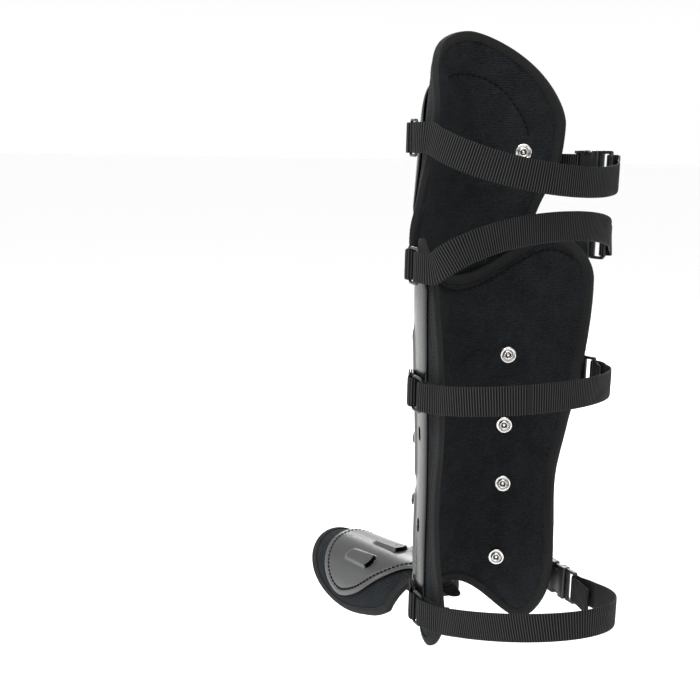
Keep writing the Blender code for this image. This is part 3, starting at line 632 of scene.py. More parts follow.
def laidLine(points, spacing):
    # smooth line through points, cut evenly, for any number of columns
    far = runOf(points[:, :3])
    slopes = np.gradient(points, far, axis=0)
    at = np.linspace(0, far[-1], max(4, int(far[-1] / spacing)))
    i = np.clip(np.searchsorted(far, at, side="right") - 1, 0, len(far) - 2)
    span = (far[i + 1] - far[i])[:, None]
    return smoothed(points, slopes, i, (at[:, None] - far[i][:, None]) / span, span), at


stitchSizes = dict(
    tape=dict(length=0.0027, gap=0.0013, radius=0.00028),
    lining=dict(length=0.0044, gap=0.0015, radius=0.00085),
    plate=dict(length=0.0036, gap=0.0012, radius=0.00080),
    tack=dict(length=0.0022, gap=0.0007, radius=0.00030),
)


def stitches(name, seams, kind):
    # sewing thread that shows for a stitch's length and dips into the cloth between;
    # each seam is its middle line, its normal and whether it closes
    size, nets = stitchSizes[kind], []
    shares = np.array([0.0, 0.10, 0.28, 0.5, 0.72, 0.90, 1.0])
    rise = np.array([-0.95, -0.25, 0.22, 0.30, 0.22, -0.25, -0.95, -1.5])
    fat = np.array([0.60, 0.90, 1.0, 1.0, 1.0, 0.90, 0.60, 0.50])
    turns = np.linspace(0, 2 * pi, 6, endpoint=False)
    for mid, normal, closed in seams:
        if closed:
            mid, normal = np.concatenate([mid, mid[:1]]), np.concatenate([normal, normal[:1]])
        far = runOf(mid)
        count = max(1, int(far[-1] / (size["length"] + size["gap"])))
        pitch = far[-1] / count
        shown = np.concatenate([shares * size["length"], [(size["length"] + pitch) / 2]])
        at = (np.arange(count)[:, None] * pitch + shown).ravel()
        spots = np.stack([np.interp(at, far, mid[:, c]) for c in range(3)], -1)
        up = unit(np.stack([np.interp(at, far, normal[:, c]) for c in range(3)], -1))
        side = unit(np.cross(np.gradient(spots, axis=0), up))
        high, wide = (np.tile(part, count)[:, None] * size["radius"] for part in (rise, fat))
        rings = [spots + up * (high + wide * sin(t)) + side * (wide * cos(t)) for t in turns]
        cells = np.stack(np.broadcast_arrays(at[:, None] * 100, turns[None] * 0.03), -1)
        nets.append(netOf(np.stack(rings, 1), cells, wrapU=closed, wrapV=True))
    return weave(name, nets, thread, caps=True)


# where the pads are held down: rivets and sewn lines
def rivetSpots(panel):
    return np.array([onLeg(panel, side * r["angle"], r["height"])
                     for r in rivets if r["panel"] == panel for side in (-1, 1)])


padSettings = dict(pinch=0.62, edge=0.013, seam=0.0013, seamWide=0.0030, dimple=0.0010, dimpleWide=0.0065,
                   pressure=5.0, frames=14, cap=0.0013, grow=-0.018, uneven=0.00022, heldEdge=0.0085,
                   heldSeam=0.0018)
kneeArc = rowsOf("angle height", (
    (19.0, 0.5150),
    (8.0, 0.5185),
    (-3.0, 0.5188),
    (-16.0, 0.5167),
    (-31.0, 0.5075),
    (-41.0, 0.4935),
    (-48.0, 0.4786),
    (-50.6, 0.4650),
))


def padHalf(near):
    # half the foam's thickness, a set way in from its edge
    share = padSettings["pinch"] + (1 - padSettings["pinch"]) * ease(near, 0.002, padSettings["edge"])
    return liner / 2 * share


def pad(name, panel, columns, rows, seams, pinSpots, replaces):
    # foam panel in brushed cloth: pinched at its tape, dimpled at rivets and seams, then blown by a cloth run
    cfg = padSettings
    seamSpots = np.concatenate(seams)

    def inner(p, h, mid, near):
        sunk = cfg["seam"] * np.exp(-(nearest(mid, seamSpots) / cfg["seamWide"]) ** 2)
        sunk += cfg["dimple"] * np.exp(-(nearest(mid, pinSpots) / cfg["dimpleWide"]) ** 4)
        sunk += cfg["uneven"] * ripple(mid, 0.035, 4) * ease(near, 0.004, 0.016)
        return -padHalf(near) + sunk

    piece = slab(name, panel, columns, rows, lambda p, h, mid, near: padHalf(near) - 0.00010, inner,
                 brushedCloth, replaces, bulge=0.5)
    mesh = piece.data
    places = np.empty(len(mesh.vertices) * 3)
    mesh.vertices.foreach_get("co", places)
    places = places.reshape(-1, 3)
    edge = outline(panel, 0.0012)["mid"]
    off = panel["off"](places)
    onMid = panel["snap"](places, 0.0)
    held = (off > -liner * 0.22) | (nearest(onMid, edge) < cfg["heldEdge"])
    held |= nearest(onMid, pinSpots) < cfg["heldEdge"]
    held |= nearest(onMid, seamSpots) < cfg["heldSeam"]
    pins = piece.vertex_groups.new(name="held")
    pins.add([int(i) for i in np.flatnonzero(held)], 1.0, "REPLACE")
    cloth = piece.modifiers.new("blown", "CLOTH")
    rule = cloth.settings
    rule.quality = 5
    rule.mass = 0.2
    rule.tension_stiffness = rule.compression_stiffness = 14
    rule.shear_stiffness = 6
    rule.bending_stiffness = 0.4
    rule.use_pressure = True
    rule.uniform_pressure_force = cfg["pressure"]
    rule.shrink_min = cfg["grow"]
    rule.vertex_group_mass = "held"
    rule.effector_weights.gravity = 0
    cloth.collision_settings.use_collision = False
    cloth.point_cache.frame_end = cfg["frames"]
    for at in range(1, cfg["frames"] + 1):
        bpy.context.scene.frame_set(at)
    graph = bpy.context.evaluated_depsgraph_get()
    blown = np.empty_like(places).reshape(-1)
    piece.evaluated_get(graph).data.vertices.foreach_get("co", blown)
    moved = blown.reshape(-1, 3) - places
    size = np.linalg.norm(moved, axis=1, keepdims=True)
    moved *= np.minimum(1.0, cfg["cap"] / np.maximum(size, 1e-9))
    moved[held] = 0.0
    piece.modifiers.remove(cloth)
    bpy.context.scene.frame_set(1)
    mesh.vertices.foreach_set("co", (places + moved).reshape(-1))
    mesh.update()
    print(name, "blown by", round(float(size.max()) * 1000, 2), "mm, kept",
          round(float(np.abs(moved).max()) * 1000, 2))
    smoother = piece.modifiers.new("smooth", "SUBSURF")
    smoother.levels = smoother.render_levels = 1
    return piece


def tapeFold(name, panel, replaces):
    # twill tape folded round an edge, with a row of stitches on each face
    line = outline(panel, 0.0013)
    depths = np.array([1.0, 0.985, 0.90, 0.74, 0.60, 0.40, 0.20, 0.04]) * tapeDepth
    lift = np.array([0.45, 0.92, 1.05, 0.80, 1.02, 1.05, 1.02, 1.0]) * tapeThick
    outer = [(-d, padHalf(d) + 0.00012 + t) for d, t in zip(depths, lift)]
    nose = [(0.00055 + tapeThick * 0.75 * cos(a), (padHalf(0.0) + tapeThick) * sin(a))
            for a in np.linspace(1.25, -1.25, 7)]
    inner = [(-d, padHalf(d) + 0.00010) for d in (0.0002, tapeDepth * 0.5, tapeDepth * 0.99)]
    section = outer + nose + [(d, -t) for d, t in reversed(outer)]
    section += [(d, -t) for d, t in reversed(inner)] + [(0.0003, -padHalf(0.0)), (0.0003, padHalf(0.0))] + inner
    pucker = 0.00009 * np.sin(line["at"] * 2 * pi / 0.0040) + 0.00007 * ripple(line["mid"], 0.012, 8)
    rings = []
    for d, t in section:
        wide = abs(t) > padHalf(max(-d, 0.0)) + 0.0005
        side = np.sign(t) * (abs(t) + (pucker if wide else 0.0))
        rings.append(panel["snap"](line["mid"] + line["away"] * d, side))
    points = np.stack(rings, 1)
    across = runOf(points[0]) * 100
    cells = np.stack(np.broadcast_arrays(line["at"][:, None] * 100, across[None]), -1)
    weave(name, [netOf(points, cells, True, True)], twillTape, replaces)
    seams = []
    for face in (1, -1):
        d = tapeDepth * 0.74
        mid = panel["snap"](line["mid"] - line["away"] * d, face * (padHalf(d) + tapeThick * 0.92))
        seams.append((mid, line["normal"] * face, True))
    stitches(name + "_thread", seams, "tape")


def surfaceSeam(panel, p, h, out, face=-1):
    mid = panel["at"](p, h, out)
    return mid, unit(panel["at"](p, h, out + face * 0.001) - mid), False


# padded panels
shinPanel, kneePanel = panels["shinLiner"], panels["kneeLiner"]
topShare = np.linspace(-0.86, 0.86, 120)
topSeam = (topShare, shinPanel["high"](topShare) - 0.0135)
arcAngles = laidLine(np.array([[r["angle"] * 0.001, r["height"], 0.0] for r in kneeArc]), 0.0015)[0]
arcShare = arcAngles[:, 0] * 1000 / column(kneeRows, "height", "wrap", arcAngles[:, 1])
arcSeam = (arcShare, arcAngles[:, 1])
pad("shin_pad", shinPanel, 66, 92, [shinPanel["at"](*topSeam)], rivetSpots("shin"), ["shin_liner"])
pad("knee_pad", kneePanel, 60, 60, [kneePanel["at"](*arcSeam)], rivetSpots("knee"), ["knee_liner"])
footEdge = outline(panels["footPad"], 0.0025)
footSeam = snapFoot(footEdge["mid"] - footEdge["away"] * 0.0125, 0.0)
pad("instep_pad", panels["footPad"], 60, 60, [footSeam], [], ["foot_pad"])
print("pads made")

tapeFold("shin_tape", shinPanel, ["shin_binding"])
tapeFold("knee_tape", kneePanel, ["knee_binding"])
tapeFold("instep_tape", panels["footPad"], ["foot_binding"])

seamRise = liner / 2 - padSettings["seam"] + 0.0009
seams = [surfaceSeam(shinPanel, *topSeam, -seamRise), surfaceSeam(kneePanel, *arcSeam, -seamRise)]
stitches("lining_thread", seams, "lining")
print("bindings made")


# the tongue strap inside the arch
def tongueSide(face):
    def out(p, length, mid, near):
        droop = -0.010 * ease(-length, 0.004, 0.036)
        return tongueOut + droop + face * 0.0010 * (0.6 + 0.4 * ease(near, 0.0, 0.004))
    return out


tongueOut = -(liner / 2 + 0.0011 + 5.4 * gap + 0.0011)
tongue = slab("instep_tongue", panels["footTongue"], 28, 60, tongueSide(1), tongueSide(-1), brushedCloth,
              ["foot_tongue"], bulge=0.8, bend=0.4)


# hard shells
shellOut = liner / 2 + 1.6 * gap + shell / 2
ribSpans = ((0.070, 0.140), (0.165, 0.290))


def shinRise(p, h):
    middle = plateau(np.abs(p), -1.0, 0.09, 0.05) * plateau(h, 0.085, 0.285, 0.010)
    side = plateau(np.abs(p), 0.46, 0.74, 0.05)
    along = np.maximum(*[plateau(h, start, end, 0.010) for start, end in ribSpans])
    return 0.0018 * np.maximum(middle, side * along)


def lipped(thick, near, wide=0.003):
    # an edge that thins and rounds off
    return thick / 2 * (0.72 + 0.28 * ease(near, 0.0, wide))


shinShell = slab("shin_guard_shell", panels["shinShell"], 136, 176,
                 lambda p, h, mid, near: shellOut + shinRise(p, h) + lipped(shell, near),
                 lambda p, h, mid, near: shellOut + shinRise(p, h) - shell / 2 * 0.98,
                 shellPlastic, ["shin_shell"], bend=0.3)


def capRise(p, h):
    return 0.004 * np.clip(1 - p * p, 0, None) * np.clip(np.sin(pi * (h - 0.390) / 0.130), 0, None)


slab("knee_guard_shell", panels["kneeShell"], 90, 96,
     lambda p, h, mid, near: shellOut + gap + capRise(p, h) + lipped(shell, near),
     lambda p, h, mid, near: shellOut + gap + capRise(p, h) - shell / 2 * 0.98,
     shellPlastic, ["knee_shell"], bend=0.5)

# vent slots cut through the shin shell
vents = dict(heights=(0.118, 0.205), angle=68, wide=0.006, tall=0.013)
bm = bmesh.new()
for height in vents["heights"]:
    for side in (-1, 1):
        here = Vector(onLeg("shin", side * vents["angle"], height, 0.0062))
        out = (Vector(onLeg("shin", side * vents["angle"], height, 0.0072)) - here).normalized()
        aside = Vector((0, 0, 1)).cross(out).normalized()
        made = bmesh.ops.create_cone(bm, cap_ends=True, segments=24, radius1=vents["wide"] / 2,
                                     radius2=vents["wide"] / 2, depth=0.009)["verts"]
        for vert in made:
            vert.co.y += (vents["tall"] - vents["wide"]) / 2 * (1 if vert.co.y > 1e-6 else -1)
        bmesh.ops.transform(bm, matrix=framed(aside, out.cross(aside), out, here), verts=made)
cutter = put("ventCutter", toMesh(bm, "ventCutter"))
hole = shinShell.modifiers.new("vents", "BOOLEAN")
hole.operation, hole.solver, hole.object = "DIFFERENCE", "EXACT", cutter
cutMesh = shaped(shinShell)
shinShell.modifiers.clear()
shinShell.data = cutMesh
bpy.data.objects.remove(cutter)
print("shells made", len(cutMesh.polygons))

# instep plate: three ribs, steep at the ankle end, and a sewn groove inside its edge
plateSet = dict(thick=0.0022, groove=0.0050, grooveWide=0.0013, grooveDeep=0.00105, ribWide=0.0150,
                ribRise=0.0042, hole=(0.0, 0.0695), holeWide=0.0011)
plateOut = liner / 2 + 0.0011 + 5.2 * gap + plateSet["thick"] / 2
footRibs = rowsOf("across start end", (
    (-0.026, 0.040, 0.080),
    (0.0, 0.056, 0.104),
    (0.028, 0.068, 0.116),
))
plate = panels["footPlate"]
plateEdge = outline(plate, 0.0011)
keepRun = plateEdge["h"] > 0.006  # the seam is open at the ankle
groove = snapFoot(plateEdge["mid"] - plateEdge["away"] * plateSet["groove"], 0.0)


def plateRise(p, length, mid, near):
    across = p * column(plateRows, "length", "half", length)
    rise = np.zeros_like(across)
    for rib in footRibs:
        half = plateSet["ribWide"] / 2
        along = np.clip(length, rib["start"] + half, rib["end"] - half)
        far = np.hypot(across - rib["across"], length - along)
        share = np.clip((length - rib["start"]) / (rib["end"] - rib["start"]), 0, 1)
        flank = 0.0008 + 0.0030 * share
        top = 1 - ease(far, half - flank, half)
        rise = np.maximum(rise, plateSet["ribRise"] * (1 - 0.55 * share) * top)
    sewn = np.exp(-(nearest(mid, groove[keepRun]) / plateSet["grooveWide"]) ** 2)
    fromPin = np.hypot(across - plateSet["hole"][0], length - plateSet["hole"][1])
    pin = np.exp(-(fromPin / plateSet["holeWide"]) ** 4)
    return rise - plateSet["grooveDeep"] * sewn - 0.0024 * pin


def ribEndShade(p, length):
    # 1 on the steep ends that face the shin, where painted shade makes them near black
    across = p * column(plateRows, "length", "half", length)
    dark = np.zeros_like(across)
    for rib in footRibs:
        half = plateSet["ribWide"] / 2
        far = np.hypot(across - rib["across"], length - rib["start"] - half)
        side = ease(rib["start"] + half - length, 0.0015, 0.0040)
        dark = np.maximum(dark, side * plateau(far, half - 0.0017, half + 0.0004, 0.0004))
    return dark


# the plate's map carries the painted shade on its rib ends
slab("instep_plate", plate, 150, 176,
     lambda p, h, mid, near: plateOut + plateRise(p, h, mid, near) + lipped(plateSet["thick"], near, 0.0022),
     lambda p, h, mid, near: plateOut - plateSet["thick"] / 2,
     platePlastic, ["foot_plate"], bend=0.35, paint=ribEndShade)
sewnMid = snapFoot(groove, plateOut + plateSet["thick"] / 2 - plateSet["grooveDeep"] + 0.00070)
runs = np.flatnonzero(~keepRun)
order = np.roll(np.arange(len(keepRun)), -(runs[-1] + 1))
order = order[keepRun[order]][5:-5]
stitches("instep_thread", [(sewnMid[order], plateEdge["normal"][order], False)], "plate")
print("instep plate made")


# rivets: turned flange, raised ring, painted shade in the well and a bright tube end, with a low head outside
def spun(name, flange, head, place, replaces):
    bm = bmesh.new()
    verts = [bm.verts.new((radius, 0, rise)) for radius, rise in flange + head]
    edges = [bm.edges.new(pair) for pair in zip(verts, verts[1:])]
    bmesh.ops.spin(bm, geom=verts + edges, cent=(0, 0, 0), axis=(0, 0, 1), angle=2 * pi, steps=48,
                   use_merge=True)
    bmesh.ops.remove_doubles(bm, verts=bm.verts, dist=weld)
    bmesh.ops.recalc_face_normals(bm, faces=bm.faces)
    layer = bm.loops.layers.uv.new("weave")
    for face in bm.faces:  # the head's radius is mapped below nought, for its duller finish
        outside = face.calc_center_median().z < 0
        for corner in face.loops:
            radius = corner.vert.co.xy.length * 1000
            turn = atan2(corner.vert.co.y, corner.vert.co.x)
            corner[layer].uv = (turn, -radius - 1 if outside else radius)
    mesh = toMesh(bm, name)
    mesh.transform(place)
    keep(name, mesh, nickelPlate, replaces)


def inward(panel, angle, height):
    here = Vector(onLeg(panel, angle, height))
    axis = (Vector(onLeg(panel, angle, height, -0.001)) - here).normalized()
    across = Vector((0, 0, 1)).cross(axis).normalized()
    return framed(across, axis.cross(across), axis, here)


flangeLift = liner / 2 + 0.0008
headDrop = -(liner / 2 + gap + shell + 0.0009)
flange = (
    (0.0, 0.0012), (0.0008, 0.00125), (0.0013, 0.0011), (0.0016, 0.0007), (0.0018, 0.0001),
    (0.0021, -0.0002),
    (0.0024, 0.0001), (0.0026, 0.0012), (0.0029, 0.0021), (0.0033, 0.0025), (0.0038, 0.0025), (0.0043, 0.0021),
    (0.0047, 0.0012), (0.0050, 0.0006), (0.0054, 0.0005), (0.0060, 0.0009), (0.0068, 0.0011), (0.0075, 0.0009),
    (0.0079, 0.0004), (0.0080, -0.0002), (0.0078, -0.0006), (0.0030, -0.0006), (0.0026, -0.0007),
)
head = ((0.0026, 0.0), (0.0050, 0.0), (0.0054, -0.0003), (0.0053, -0.0008), (0.0046, -0.0014),
        (0.0030, -0.0018), (0.0, -0.0019))
for r in rivets:
    lift = shinRise(np.array(r["angle"] / 78.0), np.array(r["height"])) if r["panel"] == "shin" else \
        capRise(r["angle"] / column(capRows, "height", "wrap", r["height"]), r["height"])
    drop = headDrop - float(lift)
    shown, back = [(a, flangeLift + b) for a, b in flange], [(a, drop + b) for a, b in head]
    for side, sign in (("right", -1), ("left", 1)):
        place = inward(r["panel"], sign * r["angle"], r["height"])
        spun(f"rivet_{r['name']}_{side}_fine", shown, back, place, [f"rivet_{r['name']}_{side}"])
print("rivets made")

# straps: the same rounds, levels and folds as the solids
laidOut = liner / 2 + gap + shell + 0.0018 + 2 * gap + web / 2
loopOut = laidOut + web + gap + bar
fold = bar * 0.71 + 2.6 * gap + web / 2
layers = web + 0.0004
loopHalf, loopSpan = 0.0145, 9.5
strapLevels = {
    "knee": dict(near=0.461, far=0.438, lift=-0.020),
    "calf": dict(near=0.357, far=0.371, lift=0.027),
    "shin": dict(near=0.247, far=0.249, lift=0.007),
    "ankle": dict(near=0.044, far=0.044, lift=0.028),
}
strapAngles = {
    "knee": dict(panel="knee", loop=70, buckle=92, tab=52),
    "calf": dict(panel="shin", loop=74, buckle=78, tab=50),
    "shin": dict(panel="shin", loop=79, buckle=84, tab=50),
    "ankle": dict(panel="shin", loop=82, buckle=98, tab=54),
}
strapRounds = {
    "knee": dict(reach=0.063, forward=0.0, stand=0.0020),
    "calf": dict(reach=0.040, forward=0.018, stand=0.0005),
    "shin": dict(reach=0.062, forward=0.0, stand=0.0014),
    "ankle": dict(reach=0.122, forward=0.0, stand=0.0010),
}
socketSet = dict(back=-0.0285, front=0.0020, half=0.0160, thick=0.0080, wall=0.0019, slot=0.0131)
plugSet = dict(thick=0.0030, bar=0.0150, tip=-0.0170, window=(-0.0150, -0.0060))


def sectionAt(name):
    level = strapLevels[name]
    radius, centre = centreOf(strapAngles[name]["panel"], (level["near"] + level["far"]) / 2)
    return radius + strapRounds[name]["stand"], centre


def roundLeg(name, angle, out, height):
    radius, centre = sectionAt(name)
    shape = strapRounds[name]
    turn = radians(angle)
    deep = radius + out if cos(turn) > 0 else shape["reach"] + out
    way = angle % 360
    shift = shape["forward"] * (ease(way, 92, 170) if way < 180 else ease(360 - way, 62, 100))
    return np.array([(radius + out) * sin(turn), centre - shift - deep * cos(turn), height - seatHeight])


def spotOf(name, place, angle):
    # angle and out of a place, by stepping from a first angle
    out = loopOut
    for _ in range(12):
        here = roundLeg(name, angle, out, 0.0)
        turnedBy = (roundLeg(name, angle + 0.01, out, 0.0) - here) * 100
        movedBy = (roundLeg(name, angle, out + 1e-5, 0.0) - here) * 1e5
        miss = np.array(place) - here
        scale = turnedBy[0] * movedBy[1] - turnedBy[1] * movedBy[0]
        angle += (miss[0] * movedBy[1] - miss[1] * movedBy[0]) / scale
        out += (turnedBy[0] * miss[1] - turnedBy[1] * miss[0]) / scale
    return angle, out


def foldRound(name, angle, height, forward):
    perMetre = 180 / pi / (sectionAt(name)[0] + loopOut)
    return [(angle + forward * fold * sin(pi * k / 8) * perMetre, loopOut - fold * cos(pi * k / 8), height, 0.0)
            for k in range(1, 8)]


webSet = dict(pitch=0.0022, valley=0.55, step=0.00037, flat=0.0045, flatRise=0.30, flatTone=0.20)
creases = dict(shin=0.131)  # how far along the strap
tackSpots = (0.004, 0.007, -0.004, -0.007)  # from either end
acrossShares = np.array([-1, -0.95, -0.87, -0.5, 0, 0.5, 0.87, 0.95, 1])
edgeRound = np.array([0.35, 0.72, 0.95, 1, 1, 1, 0.95, 0.72, 0.35])
ribDepth = np.array([0.0, 0.25, 0.9, 1, 1, 1, 0.9, 0.25, 0.0])


def webbing(piece, name, path, replaces, tacks, plain=None):
    # ribbed webbing: each edge of the ribbon follows its own line, the ribs are in the mesh;
    # plain is where a short flat stretch starts
    places = np.array([roundLeg(name, *spot[:3]) for spot in path])
    last = len(places) - 1
    edges = []
    for i, (angle, out, height, hug) in enumerate(path):
        run = unit(places[min(i + 1, last)] - places[max(i - 1, 0)])
        normal = unit(np.array([run[1], -run[0], 0.0]))
        wide = unit(np.cross(run, normal))
        wide = wide if wide[2] > 0 else -wide
        both = []
        for side in (-1, 1):
            edge = height + side * webWidth / 2
            laid = onLeg(strapAngles[name]["panel"], angle, edge, laidOut + out - (loopOut - fold))
            shift = (laid - roundLeg(name, angle, out, edge)) * hug
            both.append(places[i] + wide * (side * webWidth / 2) + shift)
        edges.append(np.concatenate([(both[0] + both[1]) / 2, both[0], both[1]]))
    line, at = laidLine(np.array(edges), webSet["step"])
    centre, low, high = line[:, :3], line[:, 3:6], line[:, 6:]
    run = unit(np.gradient(centre, axis=0))
    across = (high - low) / 2
    normal = unit(np.cross(run, across))
    rib = 0.5 + 0.5 * np.cos(at * 2 * pi / webSet["pitch"])
    rib = webSet["valley"] + (1 - webSet["valley"]) * rib ** 0.6
    along = at * 100
    if plain:
        flat = (at > plain) & (at < plain + webSet["flat"])
        rib = np.where(flat, webSet["valley"] + webSet["flatRise"], rib)
        # the flat stretch keeps one level of the painted rib shade
        tone = (int(plain / webSet["pitch"]) + webSet["flatTone"]) * webSet["pitch"] * 100
        along = np.where(flat, tone, along)
    rings = []
    for face in (1, -1):
        for k in range(len(acrossShares))[::face]:
            thick = web / 2 * 0.98 * edgeRound[k] * (1 - ribDepth[k] * (1 - rib))
            rings.append(centre + across * acrossShares[k] + normal * (face * thick)[:, None])
    points = np.stack(rings, 1)
    shares = np.concatenate([acrossShares, acrossShares[::-1]])
    cells = np.stack(np.broadcast_arrays(along[:, None], shares[None] * webWidth * 50), -1)
    weave(piece, [netOf(points, cells, wrapV=True)], nylonWeb, replaces, caps=True)
    seams = []
    for where in tacks:  # rows of thread across the web
        i = int(np.clip(np.searchsorted(at, where if where > 0 else at[-1] + where), 2, len(at) - 3))
        for face in (1, -1):
            lift = normal[i] * (face * web / 2 * 1.05)
            spots = [centre[i] + across[i] * t + lift for t in np.linspace(-0.86, 0.86, 14)]
            seams.append((np.array(spots), np.repeat((normal[i] * face)[None], 14, 0), False))
    stitches(piece + "_thread", seams, "tack")


def rounded(corners, radius, steps=5):
    # 2-D loop with its corners rounded
    made = []
    count = len(corners)
    for i in range(count):
        here, before, after = (np.array(corners[(i + k) % count], float) for k in (0, -1, 1))
        back, on = unit(before - here), unit(after - here)
        reach = min(radius, np.linalg.norm(before - here) * 0.45, np.linalg.norm(after - here) * 0.45)
        for t in np.linspace(0, 1, steps):
            made.append(here + back * reach * (1 - t) ** 2 + on * reach * t ** 2)
    return np.array(made)


def loopFrame(name):
    # moulded rectangular loop, a fat round bar with rounded corners
    angle, height = strapAngles[name]["loop"], strapLevels[name]["near"]
    line = rounded([(1, 1), (-1, 1), (-1, -1), (1, -1)], 0.42, 9)
    middle = roundLeg(name, angle, loopOut, height)
    normal = unit(roundLeg(name, angle, loopOut + 0.001, height) - middle)
    spots = np.array([roundLeg(name, angle + loopSpan / 2 * u, loopOut, height + loopHalf * v)
                      for u, v in line])
    run = unit(np.roll(spots, -1, 0) - np.roll(spots, 1, 0))
    side = unit(np.cross(run, normal))
    swing = np.linspace(0, 2 * pi, 14, endpoint=False)
    square = [(np.sign(cos(a)) * abs(cos(a)) ** 0.7, np.sign(sin(a)) * abs(sin(a)) ** 0.7) for a in swing]
    rings = [spots + side * (bar / 2 * a) + normal[None] * (bar / 2 * b) for a, b in square]
    weave(f"{name}_loop_moulded", [netOf(np.stack(rings, 1), None, True, True)], acetal, [f"{name}_loop"])


def cube(bm, low, high, soft=0.0, segments=2):
    size, middle = [b - a for a, b in zip(low, high)], [(a + b) / 2 for a, b in zip(low, high)]
    place = Matrix.Translation(middle) @ Matrix.Diagonal((*size, 1.0))
    made = bmesh.ops.create_cube(bm, size=1.0, matrix=place)["verts"]
    if soft:
        edges = {edge for vert in made for edge in vert.link_edges}
        bmesh.ops.bevel(bm, geom=list(edges), offset=soft, segments=segments, affect="EDGES", profile=0.5,
                        material=-1)


def meshFrom(name, build):
    bm = bmesh.new()
    build(bm)
    return toMesh(bm, name)


def carved(name, body, cuts, width):
    # a box less its cuts, which are boxes too, with its edges softened
    solid = put(name, meshFrom(name, lambda bm: cube(bm, *body)))
    helpers = []
    for k, cut in enumerate(cuts):
        helper = put(f"{name}Cut{k}", meshFrom(name, lambda bm: cube(bm, *cut)))
        helpers.append(helper)
        step = solid.modifiers.new("cut", "BOOLEAN")
        step.operation, step.solver, step.object = "DIFFERENCE", "EXACT", helper
    soften = solid.modifiers.new("soften", "BEVEL")
    soften.width, soften.segments, soften.limit_method, soften.angle_limit = width, 2, "ANGLE", radians(38)
    mesh = shaped(solid)
    for helper in helpers + [solid]:
        bpy.data.objects.remove(helper)
    return mesh


s = socketSet
deep, inside = s["thick"] / 2, s["back"] + 0.0085
window = plugSet["window"]
socketCuts = (
    ((s["back"] - 0.002, -s["slot"], bar / 2), (inside, s["slot"], deep + 0.002)),
    ((s["back"] - 0.002, -s["slot"], -deep - 0.002), (inside, s["slot"], -bar / 2)),
    ((s["back"] + 0.0032, -s["slot"], -deep - 0.003), (inside, s["slot"], deep + 0.003)),
    ((inside + 0.0015, -s["half"] + s["wall"], -deep + s["wall"]),
     (s["front"] + 0.002, s["half"] - s["wall"], deep - s["wall"])),
    ((window[0], s["half"] - 0.0050, -deep - 0.002), (window[1], s["half"] + 0.002, deep + 0.002)),
    ((window[0], -s["half"] - 0.002, -deep - 0.002), (window[1], -s["half"] + 0.0050, deep + 0.002)),
)
socketBody = ((s["back"], -s["half"], -deep), (s["front"], s["half"], deep), 0.0014, 3)
socketMesh = carved("socket", socketBody, socketCuts, 0.00035)


def plugBody():
    # flat plug with its two prongs and guide, and fine teeth on its bar
    foot, end = s["front"] + 0.0006, plugSet["bar"] + bar / 2
    low, high = window
    tip = plugSet["tip"]
    half = [(end, s["half"] - 0.0015), (end - 0.0015, s["half"]), (foot, s["half"]), (foot, 0.0125),
            (high - 0.0008, 0.0125), (high - 0.0008, 0.0150), (low + 0.0012, 0.0146), (tip, 0.0115),
            (tip, 0.0090), (foot - 0.004, 0.0085), (foot, 0.0065), (foot, 0.0022), (tip + 0.003, 0.0018)]
    edge = rounded(half + [(x, -y) for x, y in reversed(half)], 0.0008, 4)
    side = plugSet["bar"] - bar / 2
    wide = s["slot"]
    hole = rounded([(0.0058, -wide), (0.0058, wide), (side, wide), (side, -wide)], 0.0012, 4)
    shape = bpy.data.curves.new("plug", "CURVE")
    shape.dimensions, shape.fill_mode = "2D", "BOTH"
    shape.bevel_depth, shape.bevel_resolution = 0.0003, 1
    shape.extrude, shape.offset = plugSet["thick"] / 2 - 0.0003, -0.0003
    for loop in (edge, hole):
        line = shape.splines.new("POLY")
        line.points.add(len(loop) - 1)
        for spot, (x, y) in zip(line.points, loop):
            spot.co = (x, y, 0, 1)
        line.use_cyclic_u = True
    made = put("plug", shape)
    mesh = shaped(made)
    bpy.data.objects.remove(made)
    bm = bmesh.new()
    bm.from_mesh(mesh)
    for k in range(-9, 10):
        cube(bm, (0.0031, k * 0.0013 - 0.0003, 0.0012), (0.0054, k * 0.0013 + 0.0003, 0.00175))
    bm.to_mesh(mesh)
    bm.free()
    return mesh


plugMesh = plugBody()


def bucklePlace(name):
    angle, height = -strapAngles[name]["buckle"], strapLevels[name]["far"]
    middle = Vector(roundLeg(name, angle, loopOut + 0.0005, height))
    out = (Vector(roundLeg(name, angle, loopOut + 0.0015, height)) - middle).normalized()
    back = Vector((-out.y, out.x, 0))
    back = -back if back.y < 0 else back
    return framed(back, out.cross(back), out, middle)


def placed(name, mesh, place, replaces):
    copy = mesh.copy()
    copy.transform(place)
    keep(name, copy, acetal, replaces)
    copy.set_sharp_from_angle(angle=radians(32))


